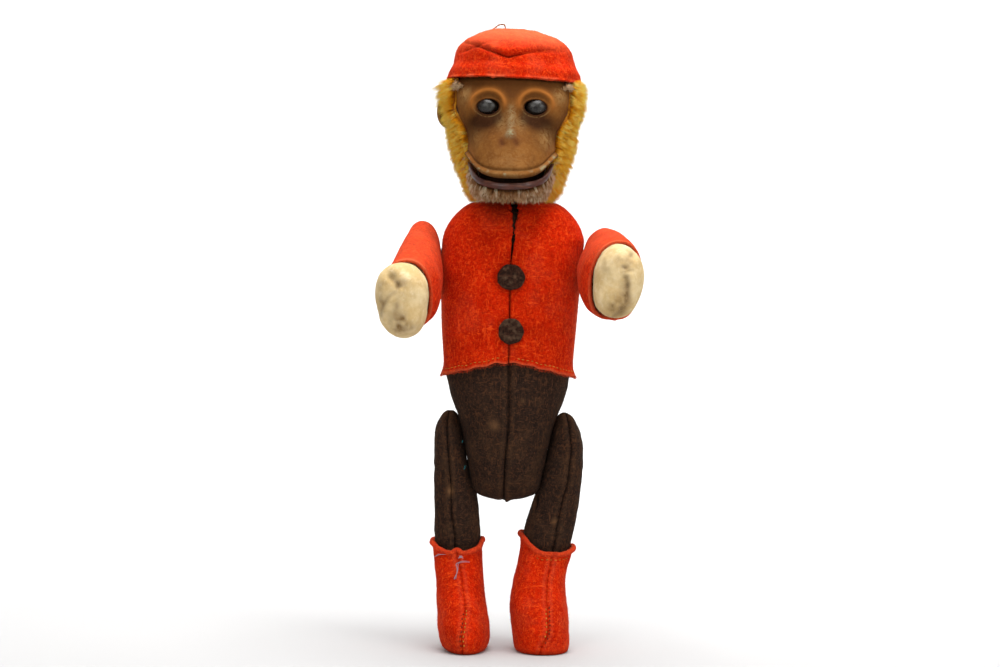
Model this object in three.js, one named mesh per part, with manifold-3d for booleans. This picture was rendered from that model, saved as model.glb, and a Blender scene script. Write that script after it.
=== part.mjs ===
// Clockwork monkey in felt page-boy dress: a disc-jointed, wood-wool-stuffed figure with a spring motor in its chest
// that beats the two arms up and down in turn. Millimetres, +Z up, the figure faces -Y, its own left side is +X.
// The origin lies on the floor under the middle of the figure.
import * as THREE from "three";
import { mergeVertices } from "three/addons/utils/BufferGeometryUtils.js";
import Module from "manifold-3d";

const wasm = await Module();
wasm.setup();

// ---------- driving dimensions ----------
const Y0 = 16.5; // the figure's spine line lies this far behind the middle of its footprint
const FELT = 1.3; // felt thickness
const GAP = 0.35; // room kept between pieces that touch
const SHOULDER_Z = 191, ARM_DOWN = 15, ARM_BEAT = 4; // shoulder axis height; mean arm angle below level; how far each arm is off the mean
const HIP_Z = 100;
const ARBOR = { great: [0, 181], second: [-4, 163.35], crank: [0, 150.9], fly: [11.7, 154.03] }; // [x, z] of each arbor
const GEARS = [[36, 9, 0.8], [32, 8, 0.625], [32, 8, 0.5625]]; // wheel teeth, pinion teeth, module, for each of the three meshes
const CRANK_R = 4.2, BEAM_Z = 187, BEAM_HALF = 19.6; // crank throw; rocker pivot height; half length of the rocker
const EYE_X = 11.4, EYE_Z = 258.8;
const JAW_Y = -10.5, JAW_Z = 229;

// ---------- small geometry kit ----------
const { PI, cos, sin, abs, sign, pow, atan2, hypot, round, min, max } = Math;
function solid(g) {
  let h = g.index ? g.toNonIndexed() : g.clone();
  for (const a of Object.keys(h.attributes)) if (a !== "position") h.deleteAttribute(a);
  h = mergeVertices(h, 1e-4);
  const t = h.index.array, keep = [];
  for (let i = 0; i < t.length; i += 3)
    if (t[i] !== t[i + 1] && t[i + 1] !== t[i + 2] && t[i] !== t[i + 2]) keep.push(t[i], t[i + 1], t[i + 2]);
  const make = (tri) => new wasm.Manifold(new wasm.Mesh({ numProp: 3, vertProperties: new Float32Array(h.attributes.position.array), triVerts: new Uint32Array(tri) }));
  const m = make(keep);
  if (m.volume() > 0) return m;
  const back = [];
  for (let i = 0; i < keep.length; i += 3) back.push(keep[i], keep[i + 2], keep[i + 1]);
  return make(back);
}
function geometry(m) {
  const k = m.getMesh(), v = new Float32Array(k.numVert * 3);
  for (let i = 0; i < k.numVert; i++) v.set(k.vertProperties.subarray(i * k.numProp, i * k.numProp + 3), i * 3);
  const g = new THREE.BufferGeometry().setAttribute("position", new THREE.BufferAttribute(v, 3)).setIndex(new THREE.BufferAttribute(new Uint32Array(k.triVerts), 1));
  g.computeVertexNormals();
  return g;
}
const cut = (a, ...b) => b.reduce((m, x) => m.subtract(x), a);
const join = (a, ...b) => b.reduce((m, x) => m.add(x), a);
const box = (x0, x1, y0, y1, z0, z1) => solid(new THREE.BoxGeometry(x1 - x0, y1 - y0, z1 - z0).translate((x0 + x1) / 2, (y0 + y1) / 2, (z0 + z1) / 2));
// A round bar between two values of one axis, centred on the two other coordinates.
function bar(axis, r, from, to, u, v, seg = 16, r2 = r) {
  const g = new THREE.CylinderGeometry(r2, r, to - from, seg);
  const mid = (from + to) / 2;
  if (axis === "x") g.rotateZ(-PI / 2).translate(mid, u, v);
  if (axis === "y") g.translate(u, mid, v);
  if (axis === "z") g.rotateX(PI / 2).translate(u, v, mid);
  return solid(g);
}
// Rows of [t, values...] joined by a smooth curve that never overshoots.
function curve(rows) {
  const n = rows.length, h = [], d = [];
  for (let i = 0; i < n - 1; i++) { h.push(rows[i + 1][0] - rows[i][0]); d.push(rows[i + 1].slice(1).map((v, j) => (v - rows[i][j + 1]) / h[i])); }
  const m = rows.map((r, i) => r.slice(1).map((_, j) => {
    if (i === 0) return d[0][j];
    if (i === n - 1) return d[n - 2][j];
    const a = d[i - 1][j], b = d[i][j];
    if (a * b <= 0) return 0;
    const w1 = 2 * h[i] + h[i - 1], w2 = h[i] + 2 * h[i - 1];
    return (w1 + w2) / (w1 / a + w2 / b);
  }));
  return (t) => {
    let i = 0;
    while (i < n - 2 && t > rows[i + 1][0]) i++;
    const s = min(1, max(0, (t - rows[i][0]) / h[i]));
    return rows[i].slice(1).map((v, j) => {
      const w = rows[i + 1][j + 1];
      return (2 * s ** 3 - 3 * s ** 2 + 1) * v + (s ** 3 - 2 * s ** 2 + s) * h[i] * m[i][j] + (-2 * s ** 3 + 3 * s ** 2) * w + (s ** 3 - s ** 2) * h[i] * m[i + 1][j];
    });
  };
}
const oval = (phi, a, b, n) => [a * sign(cos(phi)) * pow(abs(cos(phi)), 2 / n), b * sign(sin(phi)) * pow(abs(sin(phi)), 2 / n)];
// A closed body skinned over rings; at(k, phi) gives ring k's point.
function loft(seg, rings, at) {
  const g = new THREE.CylinderGeometry(1, 1, 1, seg, rings - 1), p = g.attributes.position;
  const mid = (k) => { const s = [0, 0, 0]; for (let i = 0; i < seg; i++) at(k, (2 * PI * i) / seg).forEach((v, j) => (s[j] += v / seg)); return s; };
  for (let i = 0; i < p.count; i++) {
    const x = p.getX(i), y = p.getY(i), z = p.getZ(i), k = round((y + 0.5) * (rings - 1));
    p.setXYZ(i, ...(hypot(x, z) < 0.5 ? mid(k) : at(k, atan2(z, x))));
  }
  return solid(g);
}
function plate(outline, holes, y0, y1) { // a sheet standing in the X-Z plane
  const s = new THREE.Shape(outline.map(([x, z]) => new THREE.Vector2(x, z)));
  for (const h of holes) s.holes.push(new THREE.Path(h.map(([x, z]) => new THREE.Vector2(x, z))));
  return solid(new THREE.ExtrudeGeometry(s, { depth: y1 - y0, bevelEnabled: false, steps: 1 }).rotateX(PI / 2).translate(0, y1, 0));
}
const ring = (r, x, z, seg = 16, a0 = 0) => Array.from({ length: seg }, (_, i) => [x + r * cos(a0 + (2 * PI * i) / seg), z + r * sin(a0 + (2 * PI * i) / seg)]);
function gearOutline(N, m, x, z, phase) {
  const R = (N * m) / 2, tip = R + 0.75 * m, root = R - 1.15 * m, t = (PI * m) / 2 * 0.34, out = [];
  for (let i = 0; i < N; i++) {
    const c = phase + (2 * PI * i) / N;
    for (const [r, w] of [[root, 1.3], [tip, 0.5]]) out.push([r, c - (w * t) / r]);
    for (const [r, w] of [[tip, 0.5], [root, 1.3]]) out.push([r, c + (w * t) / r]);
  }
  return out.map(([r, a]) => [x + r * cos(a), z + r * sin(a)]);
}
const toward = (a, b) => atan2(b[1] - a[1], b[0] - a[0]);
const mesh_phase = (a, b, N1, N2, phase) => { const t = toward(a, b); return t + PI + ((2 * PI) / N2) * (0.5 + ((t - phase) * N1) / (2 * PI)); };

// ---------- finishes ----------
const finish = (color, roughness, metalness = 0) => ({ color, roughness, metalness });
const RED = finish(0xd8290d, 0.95), BROWN = finish(0x2b211c, 0.95), CREAM = finish(0xd9c9a0, 0.95), MOHAIR = finish(0xd8a016, 0.95),
  MASK = finish(0xa87846, 0.9), LIP = finish(0x5a2a1e, 0.45), GREY = finish(0xb9a48c, 0.95), GLASS = finish(0x17130f, 0.1), CARD = finish(0xa98f63, 0.85),
  WOOL = finish(0xc9ae72, 0.95), STEEL = finish(0x8d9094, 0.35, 1), BRASS = finish(0xb08d46, 0.35, 1), TIN = finish(0x9fa3a4, 0.4, 0.9), PULP = finish(0x9a8468, 0.9), COPPER = finish(0xb27a3a, 0.4, 0.8);

const figure = new THREE.Group();
figure.position.y = Y0;
function put(name, m, f, parent = figure) {
  const mesh = new THREE.Mesh(geometry(m), new THREE.MeshStandardMaterial(f));
  mesh.name = name;
  parent.add(mesh);
  return mesh;
}

// ---------- body: dark felt skin in two halves, wood-wool stuffing, jacket ----------
const bodyRow = curve([
  [70.5, 3, 3], [71.5, 8.5, 8], [74, 13.6, 12.5], [78, 17, 16], [86, 19.8, 20.2], [94, 21.4, 22.6], [100, 22.1, 23.6], [106, 22.7, 24.3], [112, 23.6, 24.8], [118, 25.4, 25.2],
  [124, 27.3, 25.5], [132, 29.2, 25.8], [140, 30.1, 25.8], [150, 30.6, 25.5], [162, 31, 25], [176, 32, 24.4], [188, 32.8, 23.4], [196, 32.6, 22.4], [202, 30.5, 21.2], [207, 26.5, 19.5], [211, 21, 17.2], [213.6, 13, 12.5]]);
const BODY_N = 2.4;
function bodyLoft(levels, off, seg = 20, stretch = 0) {
  return loft(seg, levels.length, (k, phi) => {
    const z = levels[k], [w, d] = bodyRow(z), [x, y] = oval(phi, max(1, w + off), max(1, d + off), BODY_N);
    return [x, y, z + (k === 0 ? stretch : 0)];
  });
}
const BODY_LEVELS = [70.5, 72, 76, 85, 100, 115, 128, 150, 176, 194, 203, 209, 213.6];
const shaftHoles = [bar("x", 3.4, -60, 60, 0, SHOULDER_Z), bar("x", 1.6, -60, 60, 0, HIP_Z), bar("y", 3.8, 0, 60, 0, ARBOR.great[1]), bar("z", 1.9, 190, 230, 0, 0)];
const skinOuter = bodyLoft(BODY_LEVELS, 0), skinInner = bodyLoft([72.2, 76, 85, 100, 115, 128, 150, 176, 194, 203, 209, 212.2], -FELT);
const skin = cut(skinOuter, skinInner, ...shaftHoles);
put("body_skin_left", skin.intersect(box(0.17, 60, -60, 60, 0, 260)), BROWN);
put("body_skin_right", skin.intersect(box(-60, -0.17, -60, 60, 0, 260)), BROWN);

// ---------- spring motor in a tin can ----------
const CASE = { a: 26, b: 17.5, n: 3, y: -1.5, z0: 137, z1: 199.5, t: 0.7 };
const caseLoft = (grow, z0, z1, seg = 28) => loft(seg, 2, (k, phi) => { const [x, y] = oval(phi, CASE.a + grow, CASE.b + grow, CASE.n); return [x, y + CASE.y, k ? z1 : z0]; });
const caseRoom = caseLoft(GAP, CASE.z0 - GAP, CASE.z1 + GAP);
put("motor_case", cut(caseLoft(0, CASE.z0, CASE.z1), caseLoft(-CASE.t, CASE.z0 - 5, CASE.z1 - CASE.t), bar("x", 3.3, -60, 60, 0, SHOULDER_Z), bar("y", 3.6, 0, 60, 0, ARBOR.great[1])), TIN);
put("motor_case_base", caseLoft(-CASE.t - GAP, CASE.z0, CASE.z0 + 0.8), TIN);
const PLATE = [[-17, 139], [17, 139], [17, 193], [13, 197.5], [-13, 197.5], [-17, 193]];
const { great: G, second: S, crank: K, fly: F } = ARBOR;
const PILLARS = [[-14.6, 141.6], [14.6, 141.6], [-13.2, 195], [13.2, 195]];
const FRONT = [-9.3, -8.5], BACK = [8.5, 9.3];
put("movement_front_plate", plate(PLATE, [ring(0.95, ...G, 12), ring(0.95, ...S, 12), ring(1.25, ...K, 12), ring(0.95, ...F, 12), ring(0.8, 0, BEAM_Z, 12), ...PILLARS.map((p) => ring(1.05, ...p, 10))], ...FRONT), BRASS);
put("movement_back_plate", join(plate(PLATE, [ring(1.85, ...G, 14), ring(0.95, ...S, 12), ring(0.95, ...K, 12), ring(0.95, ...F, 12)], ...BACK),
  ...PILLARS.map((p) => join(bar("y", 1.5, FRONT[1] + GAP, BACK[0] + 0.1, ...p, 10), bar("y", 0.75, FRONT[0] - 0.5, FRONT[1] + GAP + 0.1, ...p, 10)))), BRASS);

const phaseG = 0.02, phaseS = mesh_phase(G, S, GEARS[0][0], GEARS[0][1], phaseG), phaseS2 = 0.05, phaseK = mesh_phase(S, K, GEARS[1][0], GEARS[1][1], phaseS2),
  phaseK2 = 0.03, phaseF = mesh_phase(K, F, GEARS[2][0], GEARS[2][1], phaseK2);
// winding arbor with its ratchet wheel; the square end takes the key
const ratchet = []; for (let i = 0; i < 16; i++) { const a = (2 * PI * i) / 16; ratchet.push([G[0] + 6.3 * cos(a), G[1] + 6.3 * sin(a)], [G[0] + 5 * cos(a + 0.08), G[1] + 5 * sin(a + 0.08)]); }
put("winding_arbor", join(bar("y", 1.7, -7.9, 9.0, ...G, 14), bar("y", 0.8, -9.2, -7.8, ...G, 12), plate(ratchet, [], -0.9, 0.3), box(-1.1, 1.1, 8.9, 27, G[1] - 1.1, G[1] + 1.1)), STEEL);
// great wheel, loose on the arbor, with spokes
const spokes = [0, 1, 2, 3].map((q) => { const a0 = (q * PI) / 2 + 0.22, a1 = ((q + 1) * PI) / 2 - 0.22, p = []; for (let i = 0; i <= 4; i++) { const a = a0 + ((a1 - a0) * i) / 4; p.push([G[0] + 11.6 * cos(a), G[1] + 11.6 * sin(a)]); } for (let i = 4; i >= 0; i--) { const a = a0 + 0.1 + ((a1 - a0 - 0.2) * i) / 4; p.push([G[0] + 8.6 * cos(a), G[1] + 8.6 * sin(a)]); } return p; });
const CLICK = [G[0] + 8.9 * cos(-1.2), G[1] + 8.9 * sin(-1.2)]; // click screw, on the wheel's web
put("great_wheel", cut(plate(gearOutline(GEARS[0][0], GEARS[0][2], ...G, phaseG), [ring(1.9, ...G, 14)], -2.6, -1.4), ...spokes.slice(0, 3).map((p) => plate(p, [], -4, 0))), BRASS);
// click: a pawl whose nose lies in a ratchet tooth
const tipA = -1.2 + 0.62, nose = [G[0] + 7.0 * cos(tipA), G[1] + 7.0 * sin(tipA)];
const across = [-(nose[1] - CLICK[1]), nose[0] - CLICK[0]], al = hypot(...across);
const off = (p, k) => [p[0] + (across[0] / al) * k, p[1] + (across[1] / al) * k];
put("click", cut(join(plate([off(CLICK, 1.3), off(CLICK, -1.3), off(nose, -0.45), off(nose, 0.45)], [], -1.05, 0.15), bar("y", 1.6, -1.05, 0.15, ...CLICK, 14)), bar("y", 0.75, -4, 4, ...CLICK, 12)), STEEL);
put("click_screw", join(bar("y", 0.55, -1.05, 0.5, ...CLICK, 12), bar("y", 1.15, 0.45, 0.75, ...CLICK, 12)), STEEL);
// mainspring: a flat spiral, hooked near the arbor and on a lower pillar
{
  const inner = [], outer = [], turns = 4, steps = 52, T = 0.45;
  for (let i = 0; i <= steps; i++) { const a = 0.6 - (2 * PI * turns * i) / steps, r = 2.35 + (12.6 - 2.35) * (i / steps); inner.push([G[0] + (r - T / 2) * cos(a), G[1] + (r - T / 2) * sin(a)]); outer.push([G[0] + (r + T / 2) * cos(a), G[1] + (r + T / 2) * sin(a)]); }
  put("mainspring", plate([...outer, ...inner.reverse()], [], 1.2, 7.9), STEEL);
}
const wheel = (N, m, c, ph, y0, y1) => plate(gearOutline(N, m, ...c, ph), [], y0, y1);
put("second_wheel", join(bar("y", 1.3, -7.9, 7.9, ...S, 12), bar("y", 0.75, -9.2, 9.2, ...S, 12), wheel(GEARS[0][1], GEARS[0][2], S, phaseS, -3.2, -0.9), wheel(GEARS[1][0], GEARS[1][2], S, phaseS2, -5.4, -4.4)), BRASS);
const pinA = 70.6 * PI / 180, PIN = [K[0] + CRANK_R * cos(pinA), K[1] + CRANK_R * sin(pinA)];
put("crank_wheel", join(bar("y", 1.2, -7.9, 7.9, ...K, 12), bar("y", 0.75, 7.8, 9.2, ...K, 12), bar("y", 1.05, -10.5, -7.8, ...K, 12), wheel(GEARS[1][1], GEARS[1][2], K, phaseK, -6.2, -3.6), wheel(GEARS[2][0], GEARS[2][2], K, phaseK2, 1, 2),
  plate(ring(6.2, ...K, 20), [], -10.6, -9.8), bar("y", 0.9, -11.1, -10.5, ...PIN, 12)), BRASS);
put("governor_fly", join(bar("y", 1, -7.9, 7.9, ...F, 10), bar("y", 0.75, -9.2, 9.2, ...F, 12), wheel(GEARS[2][1], GEARS[2][2], F, phaseF, 0, 3), plate([[F[0] - 4.6, F[1] - 0.35], [F[0] + 4.6, F[1] - 0.35], [F[0] + 4.6, F[1] + 0.35], [F[0] - 4.6, F[1] + 0.35]], [], -7.6, -3.2)), BRASS);
// rocker beam: hub on a shouldered screw, tail forked over the crank pin, two ends forked over the arm levers
const beamTilt = (-ARM_BEAT * 12.2) / BEAM_HALF; // degrees, from the arms' rest angle
{
  const tail = BEAM_Z - K[1];
  const outline = [[-BEAM_HALF - 1.5, -2.6], [-7, -2.6], [-3, -6], [-1.7, -tail + 9], [-3.4, -tail + 7], [-3.4, -tail - 5.6], [-1.35, -tail - 5.6], [-1.35, -tail + 5.6], [1.35, -tail + 5.6], [1.35, -tail - 5.6], [3.4, -tail - 5.6], [3.4, -tail + 7], [1.7, -tail + 9], [3, -6], [7, -2.6], [BEAM_HALF + 1.5, -2.6]];
  const half = (s) => [[s * (BEAM_HALF + 1.5), 5.2 + 2.6], [s * (BEAM_HALF - 4), 7.8], [s * (BEAM_HALF - 6), 4.4]];
  const all = [...outline, [BEAM_HALF + 1.5, 0], ...half(1), [4, 3], [-4, 3], ...half(-1).reverse(), [-BEAM_HALF - 1.5, 0]];
  const lift = SHOULDER_Z - BEAM_Z; // the lever tips lie this far above the pivot
  let b = plate(all.map(([x, z]) => [x, z]), [ring(1.35, 0, 0, 14)], -12.7, -11.5);
  // mouths that the lever tips run in
  for (const s of [-1, 1]) b = cut(b, box(min(s * (BEAM_HALF - 2.2), s * (BEAM_HALF + 3)), max(s * (BEAM_HALF - 2.2), s * (BEAM_HALF + 3)), -14, -10, lift - 1.5, lift + 1.5));
  put("rocker_beam", b.rotate([0, beamTilt, 0]).translate([0, 0, BEAM_Z]), STEEL);
}
put("rocker_screw", join(bar("y", 1.1, -13, -9.65, 0, BEAM_Z, 14), bar("y", 0.6, -9.7, -7.9, 0, BEAM_Z, 10), bar("y", 2.4, -13.8, -13, 0, BEAM_Z, 16)), STEEL);
// key: a hub with a square hole and two pierced wings
{
  const wing = new THREE.Shape();
  const pts = []; for (const s of [1, -1]) for (let i = 0; i <= 10; i++) { const a = (s > 0 ? -1.15 : PI - 1.15 + 0) + (2.3 * i) / 10; pts.push([s > 0 ? 8 + 6.4 * cos(a) : -8 + 6.4 * cos(a), 6.4 * sin(a)]); }
  wing.setFromPoints(pts.map(([x, y]) => new THREE.Vector2(x, y)));
  for (const s of [1, -1]) wing.holes.push(new THREE.Path(ring(2.6, s * 8.6, 0, 12).map(([x, y]) => new THREE.Vector2(x, y))));
  const wings = solid(new THREE.ExtrudeGeometry(wing, { depth: 1.6, bevelEnabled: false }).translate(0, 0, -0.8)).translate([0, 40, G[1]]);
  put("winding_key", cut(join(bar("y", 2.7, 9.9, 37, ...G, 16), wings), box(-1.4, 1.4, 0, 28, G[1] - 1.4, G[1] + 1.4)), BRASS);
}

// stuffing, with room for the motor, discs and pins
const discRoom = (s) => bar("x", 10.5, min(s * 13.6, s * 18.2), max(s * 13.6, s * 18.2), 0, HIP_Z, 24);
put("wood_wool_stuffing", cut(bodyLoft([74, 85, 100, 115, 128, 150, 176, 194, 203, 210], -FELT - GAP - 0.55), caseRoom, bar("x", 6, -60, 60, 0, SHOULDER_Z), bar("x", 3.4, -60, 60, 0, HIP_Z), discRoom(1), discRoom(-1), bar("y", 3.8, 0, 60, 0, ARBOR.great[1]),
  bar("z", 12.6, 208, 240, 0, 0, 24), bar("z", 3.6, 198, 240, 0, 0)), WOOL);

// jacket: a back and two fronts, cut away at the hem, open at the throat
const JACKET_LEVELS = [128, 150, 176, 194, 203, 209, 213.6];
function jacketLoft(off, levels = JACKET_LEVELS) {
  return loft(20, levels.length, (k, phi) => { const z = levels[k], [w, d] = bodyRow(max(z, 128)), o = off + (z < 150 ? (150 - z) * 0.075 : 0), [x, y] = oval(phi, w + o, d + o, BODY_N); return [x, y, z + (k === levels.length - 1 ? min(0.4, off * 0.3) : 0)]; });
}
const jacketOuter = jacketLoft(GAP + FELT), jacketInner = jacketLoft(GAP, [115, 128, 150, 176, 194, 203, 209, 213.6, 220]);
const hemCut = solid(new THREE.ExtrudeGeometry(new THREE.Shape([[-40, 120], [40, 120], [40, 130], [33, 132.5], [2, 138.5], [-2, 138.5], [-33, 132.5], [-40, 130]].map(([x, z]) => new THREE.Vector2(x, z))), { depth: 60, bevelEnabled: false }).rotateX(PI / 2).translate(0, 0, 0));
const jacket = cut(jacketOuter, jacketInner, hemCut, bar("x", 4.5, -60, 60, 0, SHOULDER_Z), bar("y", 4.2, 0, 60, 0, ARBOR.great[1]), bar("z", 12.5, 205, 240, 0, 0, 24));
const throat = solid(new THREE.ExtrudeGeometry(new THREE.Shape([[-2.4, 222], [-1.5, 205], [-0.17, 190], [-0.17, 120], [0.17, 120], [0.17, 190], [1.5, 205], [2.4, 222]].map(([x, z]) => new THREE.Vector2(x, z))), { depth: 60, bevelEnabled: false }).rotateX(PI / 2));
const fronts = cut(jacket.intersect(box(-60, 60, -60, -0.17, 100, 240)), throat);
put("jacket_left_front", fronts.intersect(box(0, 60, -60, 0, 100, 240)), RED);
put("jacket_right_front", fronts.intersect(box(-60, 0, -60, 0, 100, 240)), RED);
put("jacket_back", jacket.intersect(box(-60, 60, 0.17, 60, 100, 240)), RED);
for (const [name, z, r] of [["upper_button", 178.3, 6.7], ["lower_button", 152.8, 6.3]]) {
  const y = -(bodyRow(z)[1] + GAP + FELT) - 0.7;
  put(name, bar("y", r, y - 1.6, y, 0.4, z, 24), BROWN);
}

// ---------- head ----------
const headRow = curve([[215, 11, 11, -2], [217.5, 16, 16, -2.5], [222, 19.5, 20.5, -3], [230, 22.4, 24.5, -2.5], [240, 25.8, 27, -1], [250, 28, 28.6, 0], [262, 30.4, 29.6, 0.5], [272, 29.6, 29.2, 0.5], [280, 26.6, 26.8, 0.5], [287, 20.5, 21, 0.5], [291, 12, 12.5, 0.5], [292.4, 4, 4, 0.5]]);
const HEAD_LEVELS = [215, 218.5, 228, 240, 252, 264, 276, 286, 292.4];
const headLoft = (off, levels = HEAD_LEVELS, seg = 16) => loft(seg, levels.length, (k, phi) => { const z = levels[k], [w, d, c] = headRow(z), [x, y] = oval(phi, max(1, w + off), max(1, d + off), 2.15); return [x, y + c, z + (k === levels.length - 1 ? off * 0.8 : k === 0 ? -min(0, off) : 0)]; });
const head = new THREE.Group();
figure.add(head);
// moulded mask: half width, and how far forward the middle line stands, for each height
const maskRow = curve([[222.6, 17.5, 47.2], [224.5, 19.2, 48.4], [228, 20.6, 48.2], [233, 21.2, 46.6], [239, 21.3, 44.4], [244, 21.8, 41.5], [250, 23.6, 37.4], [257, 26, 35], [265, 26.6, 34.6], [272, 25.6, 31.6]]);
function maskPoint(u, z, depth) { // u from -1 to 1 across the face
  const [w, f] = maskRow(z), back = 13, x = w * sin((u * PI) / 2) ** 1, y = -(back + (f - back) * pow(max(0, cos((u * PI) / 2)), 0.62));
  const lift = z < 240 ? ((240 - z) / 17.4) * 14 * pow(abs(u), 2.2) : 0; // the lip line rises to the mouth corners
  return [x * (1 - depth / 26), y + depth * 1.0, z + lift];
}
{
  const g = new THREE.BoxGeometry(1, 1, 1, 10, 8, 1), p = g.attributes.position;
  for (let i = 0; i < p.count; i++) { const u = p.getX(i) * 2, v = p.getY(i) + 0.5, w = p.getZ(i) > 0 ? 0 : 1.5; p.setXYZ(i, ...maskPoint(u, 222.6 + v * (271.6 - 222.6), w)); }
  const eyeHole = (s) => solid(new THREE.CylinderGeometry(1, 1, 60, 20).scale(5.1, 1, 3.3).translate(s * EYE_X, -30, EYE_Z));
  const maskSolid = cut(solid(g), eyeHole(1), eyeHole(-1));
  put("face_mask", maskSolid, MASK, head);
}
const maskShell = (z0, z1, d0, d1) => { const g = new THREE.BoxGeometry(1, 1, 1, 10, 8, 1), p = g.attributes.position; for (let i = 0; i < p.count; i++) p.setXYZ(i, ...maskPoint(p.getX(i) * 2, z0 + (p.getY(i) + 0.5) * (z1 - z0), p.getZ(i) > 0 ? d0 : d1)); return solid(g); };
// room behind the mask, the jaw's mouth and eye seats
const maskRoom = (() => { const g = new THREE.BoxGeometry(1, 1, 1, 10, 8, 1), p = g.attributes.position; for (let i = 0; i < p.count; i++) { const u = p.getX(i) * 2, v = p.getY(i) + 0.5; const q = maskPoint(u, 219.5 + v * (272.2 - 219.5), 1.8 + GAP); p.setXYZ(i, abs(u) > 0.99 ? sign(u) * 40 : q[0], p.getZ(i) > 0 ? -70 : q[1], q[2]); } return solid(g); })();
const muzzleBlock = (() => { const g = new THREE.BoxGeometry(1, 1, 1, 8, 5, 1), p = g.attributes.position; for (let i = 0; i < p.count; i++) { const u = p.getX(i) * 1.9, v = p.getY(i) + 0.5; const q = maskPoint(u, 232 + v * (271 - 232), 1.5 + GAP + 0.05); p.setXYZ(i, q[0], p.getZ(i) > 0 ? q[1] : -4, min(q[2], 271.2)); } return solid(g); })();
const eyeSeat = (s) => bar("y", 6.1, -60, -18.5, s * EYE_X, EYE_Z, 18);
const jawRoom = box(-21.5, 21.5, -60, -4.5, 205, 231.6);
put("head_core", cut(join(headLoft(0), muzzleBlock), maskRoom, maskShell(222, 272.2, -1.8, 1.8 + GAP), eyeSeat(1), eyeSeat(-1), cut(jawRoom, box(-21.5, 21.5, -8, 0, 205, 219)), bar("z", 13.2, 214, 222.3, 0, 0, 24), bar("z", 4, 214, 230, 0, 0, 16), bar("x", 1.15, -60, 60, JAW_Y, JAW_Z, 12)), PULP, head);
for (const [name, s] of [["left_eye", 1], ["right_eye", -1]]) put(name, join(solid(new THREE.SphereGeometry(5.7, 14, 10).translate(s * EYE_X, -25.8, EYE_Z)), bar("y", 1, -22, -19, s * EYE_X, EYE_Z, 8)), GLASS, head);
// mohair hood over the back and sides, with slits for the ears
const hood = cut(headLoft(FELT + GAP + 0.6), headLoft(GAP), box(-60, 60, -60, 60, 271.8, 320), box(-60, 60, -70, -12.6, 200, 300), box(-60, 60, -70, 70, 200, 217), box(-22.4, 22.4, -70, -8, 200, 232), bar("x", 1.6, -60, 60, JAW_Y, JAW_Z, 12));
const earShape = (grow) => solid(new THREE.CylinderGeometry(1, 1, 2 + 2 * grow, 20).scale(6.2 + grow, 1, 8 + grow)).rotate([0, 0, 14]);
const ear = (s, grow) => { const e = earShape(grow).translate([30.2, 2, 258.5]); return s > 0 ? e : e.mirror([1, 0, 0]); };
put("mohair_hood", cut(hood, ear(1, GAP), ear(-1, GAP)), MOHAIR, head);
for (const [name, s] of [["left_ear", 1], ["right_ear", -1]]) put(name, cut(ear(s, 0), headLoft(GAP)), CREAM, head);
// cap: band and crown, with a wire loop through the crown
const bandRow = curve([[272.2, 32.9, 33.2], [279, 31, 31.3], [286.6, 28.5, 28.8]]);
const bandLoft = (off, zs) => loft(22, zs.length, (k, phi) => { const [w, d] = bandRow(min(286.6, max(272.2, zs[k]))), [x, y] = oval(phi, w + off, d + off, 2.1); return [x, y + 0.5, zs[k]]; });
put("cap_band", cut(bandLoft(0, [272.2, 279, 286.6]), bandLoft(-FELT, [270, 279, 290])), RED, head);
const crownRow = curve([[286.9, 28.4, 28.7], [290, 26.8, 27.2], [293.4, 22.5, 23], [296.6, 15.5, 16], [298.8, 7.5, 8], [299.7, 2, 2]]);
const crownLoft = (dz, off) => { const zs = [286.9, 290.4, 294.4, 298, 299.7]; return loft(22, zs.length, (k, phi) => { const [w, d] = crownRow(zs[k]), [x, y] = oval(phi, max(0.8, w + off), max(0.8, d + off), 2.1); return [x, y + 0.5, zs[k] - dz]; }); };
const wirePath = new THREE.CatmullRomCurve3([[-10.6, 1, 293.5], [-10.4, 1, 296.5], [-8.6, 0.6, 299.6], [-5.4, 0.2, 301.6], [-2.8, 0, 301.4], [-1.7, 0, 299.4], [-1.6, 0, 295.8]].map((p) => new THREE.Vector3(...p)));
const wire = (r, steps = 12) => solid(new THREE.ExtrudeGeometry(new THREE.Shape(ring(r, 0, 0, 6).map(([x, y]) => new THREE.Vector2(x, y))), { steps, bevelEnabled: false, extrudePath: wirePath }));
put("cap_crown", cut(crownLoft(0, 0), crownLoft(1.4, -0.9), wire(0.9)), RED, head);
put("cap_loop", wire(0.42), COPPER, head);
put("neck_disc_upper", cut(bar("z", 12.7, 219.6, 221.8, 0, 0, 24), bar("z", 1.8, 210, 230, 0, 0, 14)), CARD, head);

// jaw: pulp core on a hinge wire, leather lip, chin of short mohair
const side = (pts, x0, x1) => solid(new THREE.ExtrudeGeometry(new THREE.Shape(pts.map(([y, z]) => new THREE.Vector2(y, z))), { depth: x1 - x0, bevelEnabled: false }).rotateX(PI / 2).rotateZ(PI / 2).translate(x0, 0, 0));
const plan = (a, b, z0, z1, seg = 28) => loft(seg, 2, (k, phi) => [a * cos(phi), -14 + b * sin(phi), k ? z1 : z0]);
const jaw = new THREE.Group();
head.add(jaw);
const jawCore = cut(side([[-7, 231], [-13.5, 231], [-17, 224], [-42, 220.4], [-44, 219.4], [-43, 217.2], [-36, 215.8], [-25, 216.8], [-18.5, 220.6], [-9, 228]], -17.2, 17.2).intersect(plan(18.4, 29.6, 200, 240)), bar("x", 1.15, -60, 60, JAW_Y, JAW_Z, 12));
put("jaw_core", jawCore, PULP, jaw);
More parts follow.
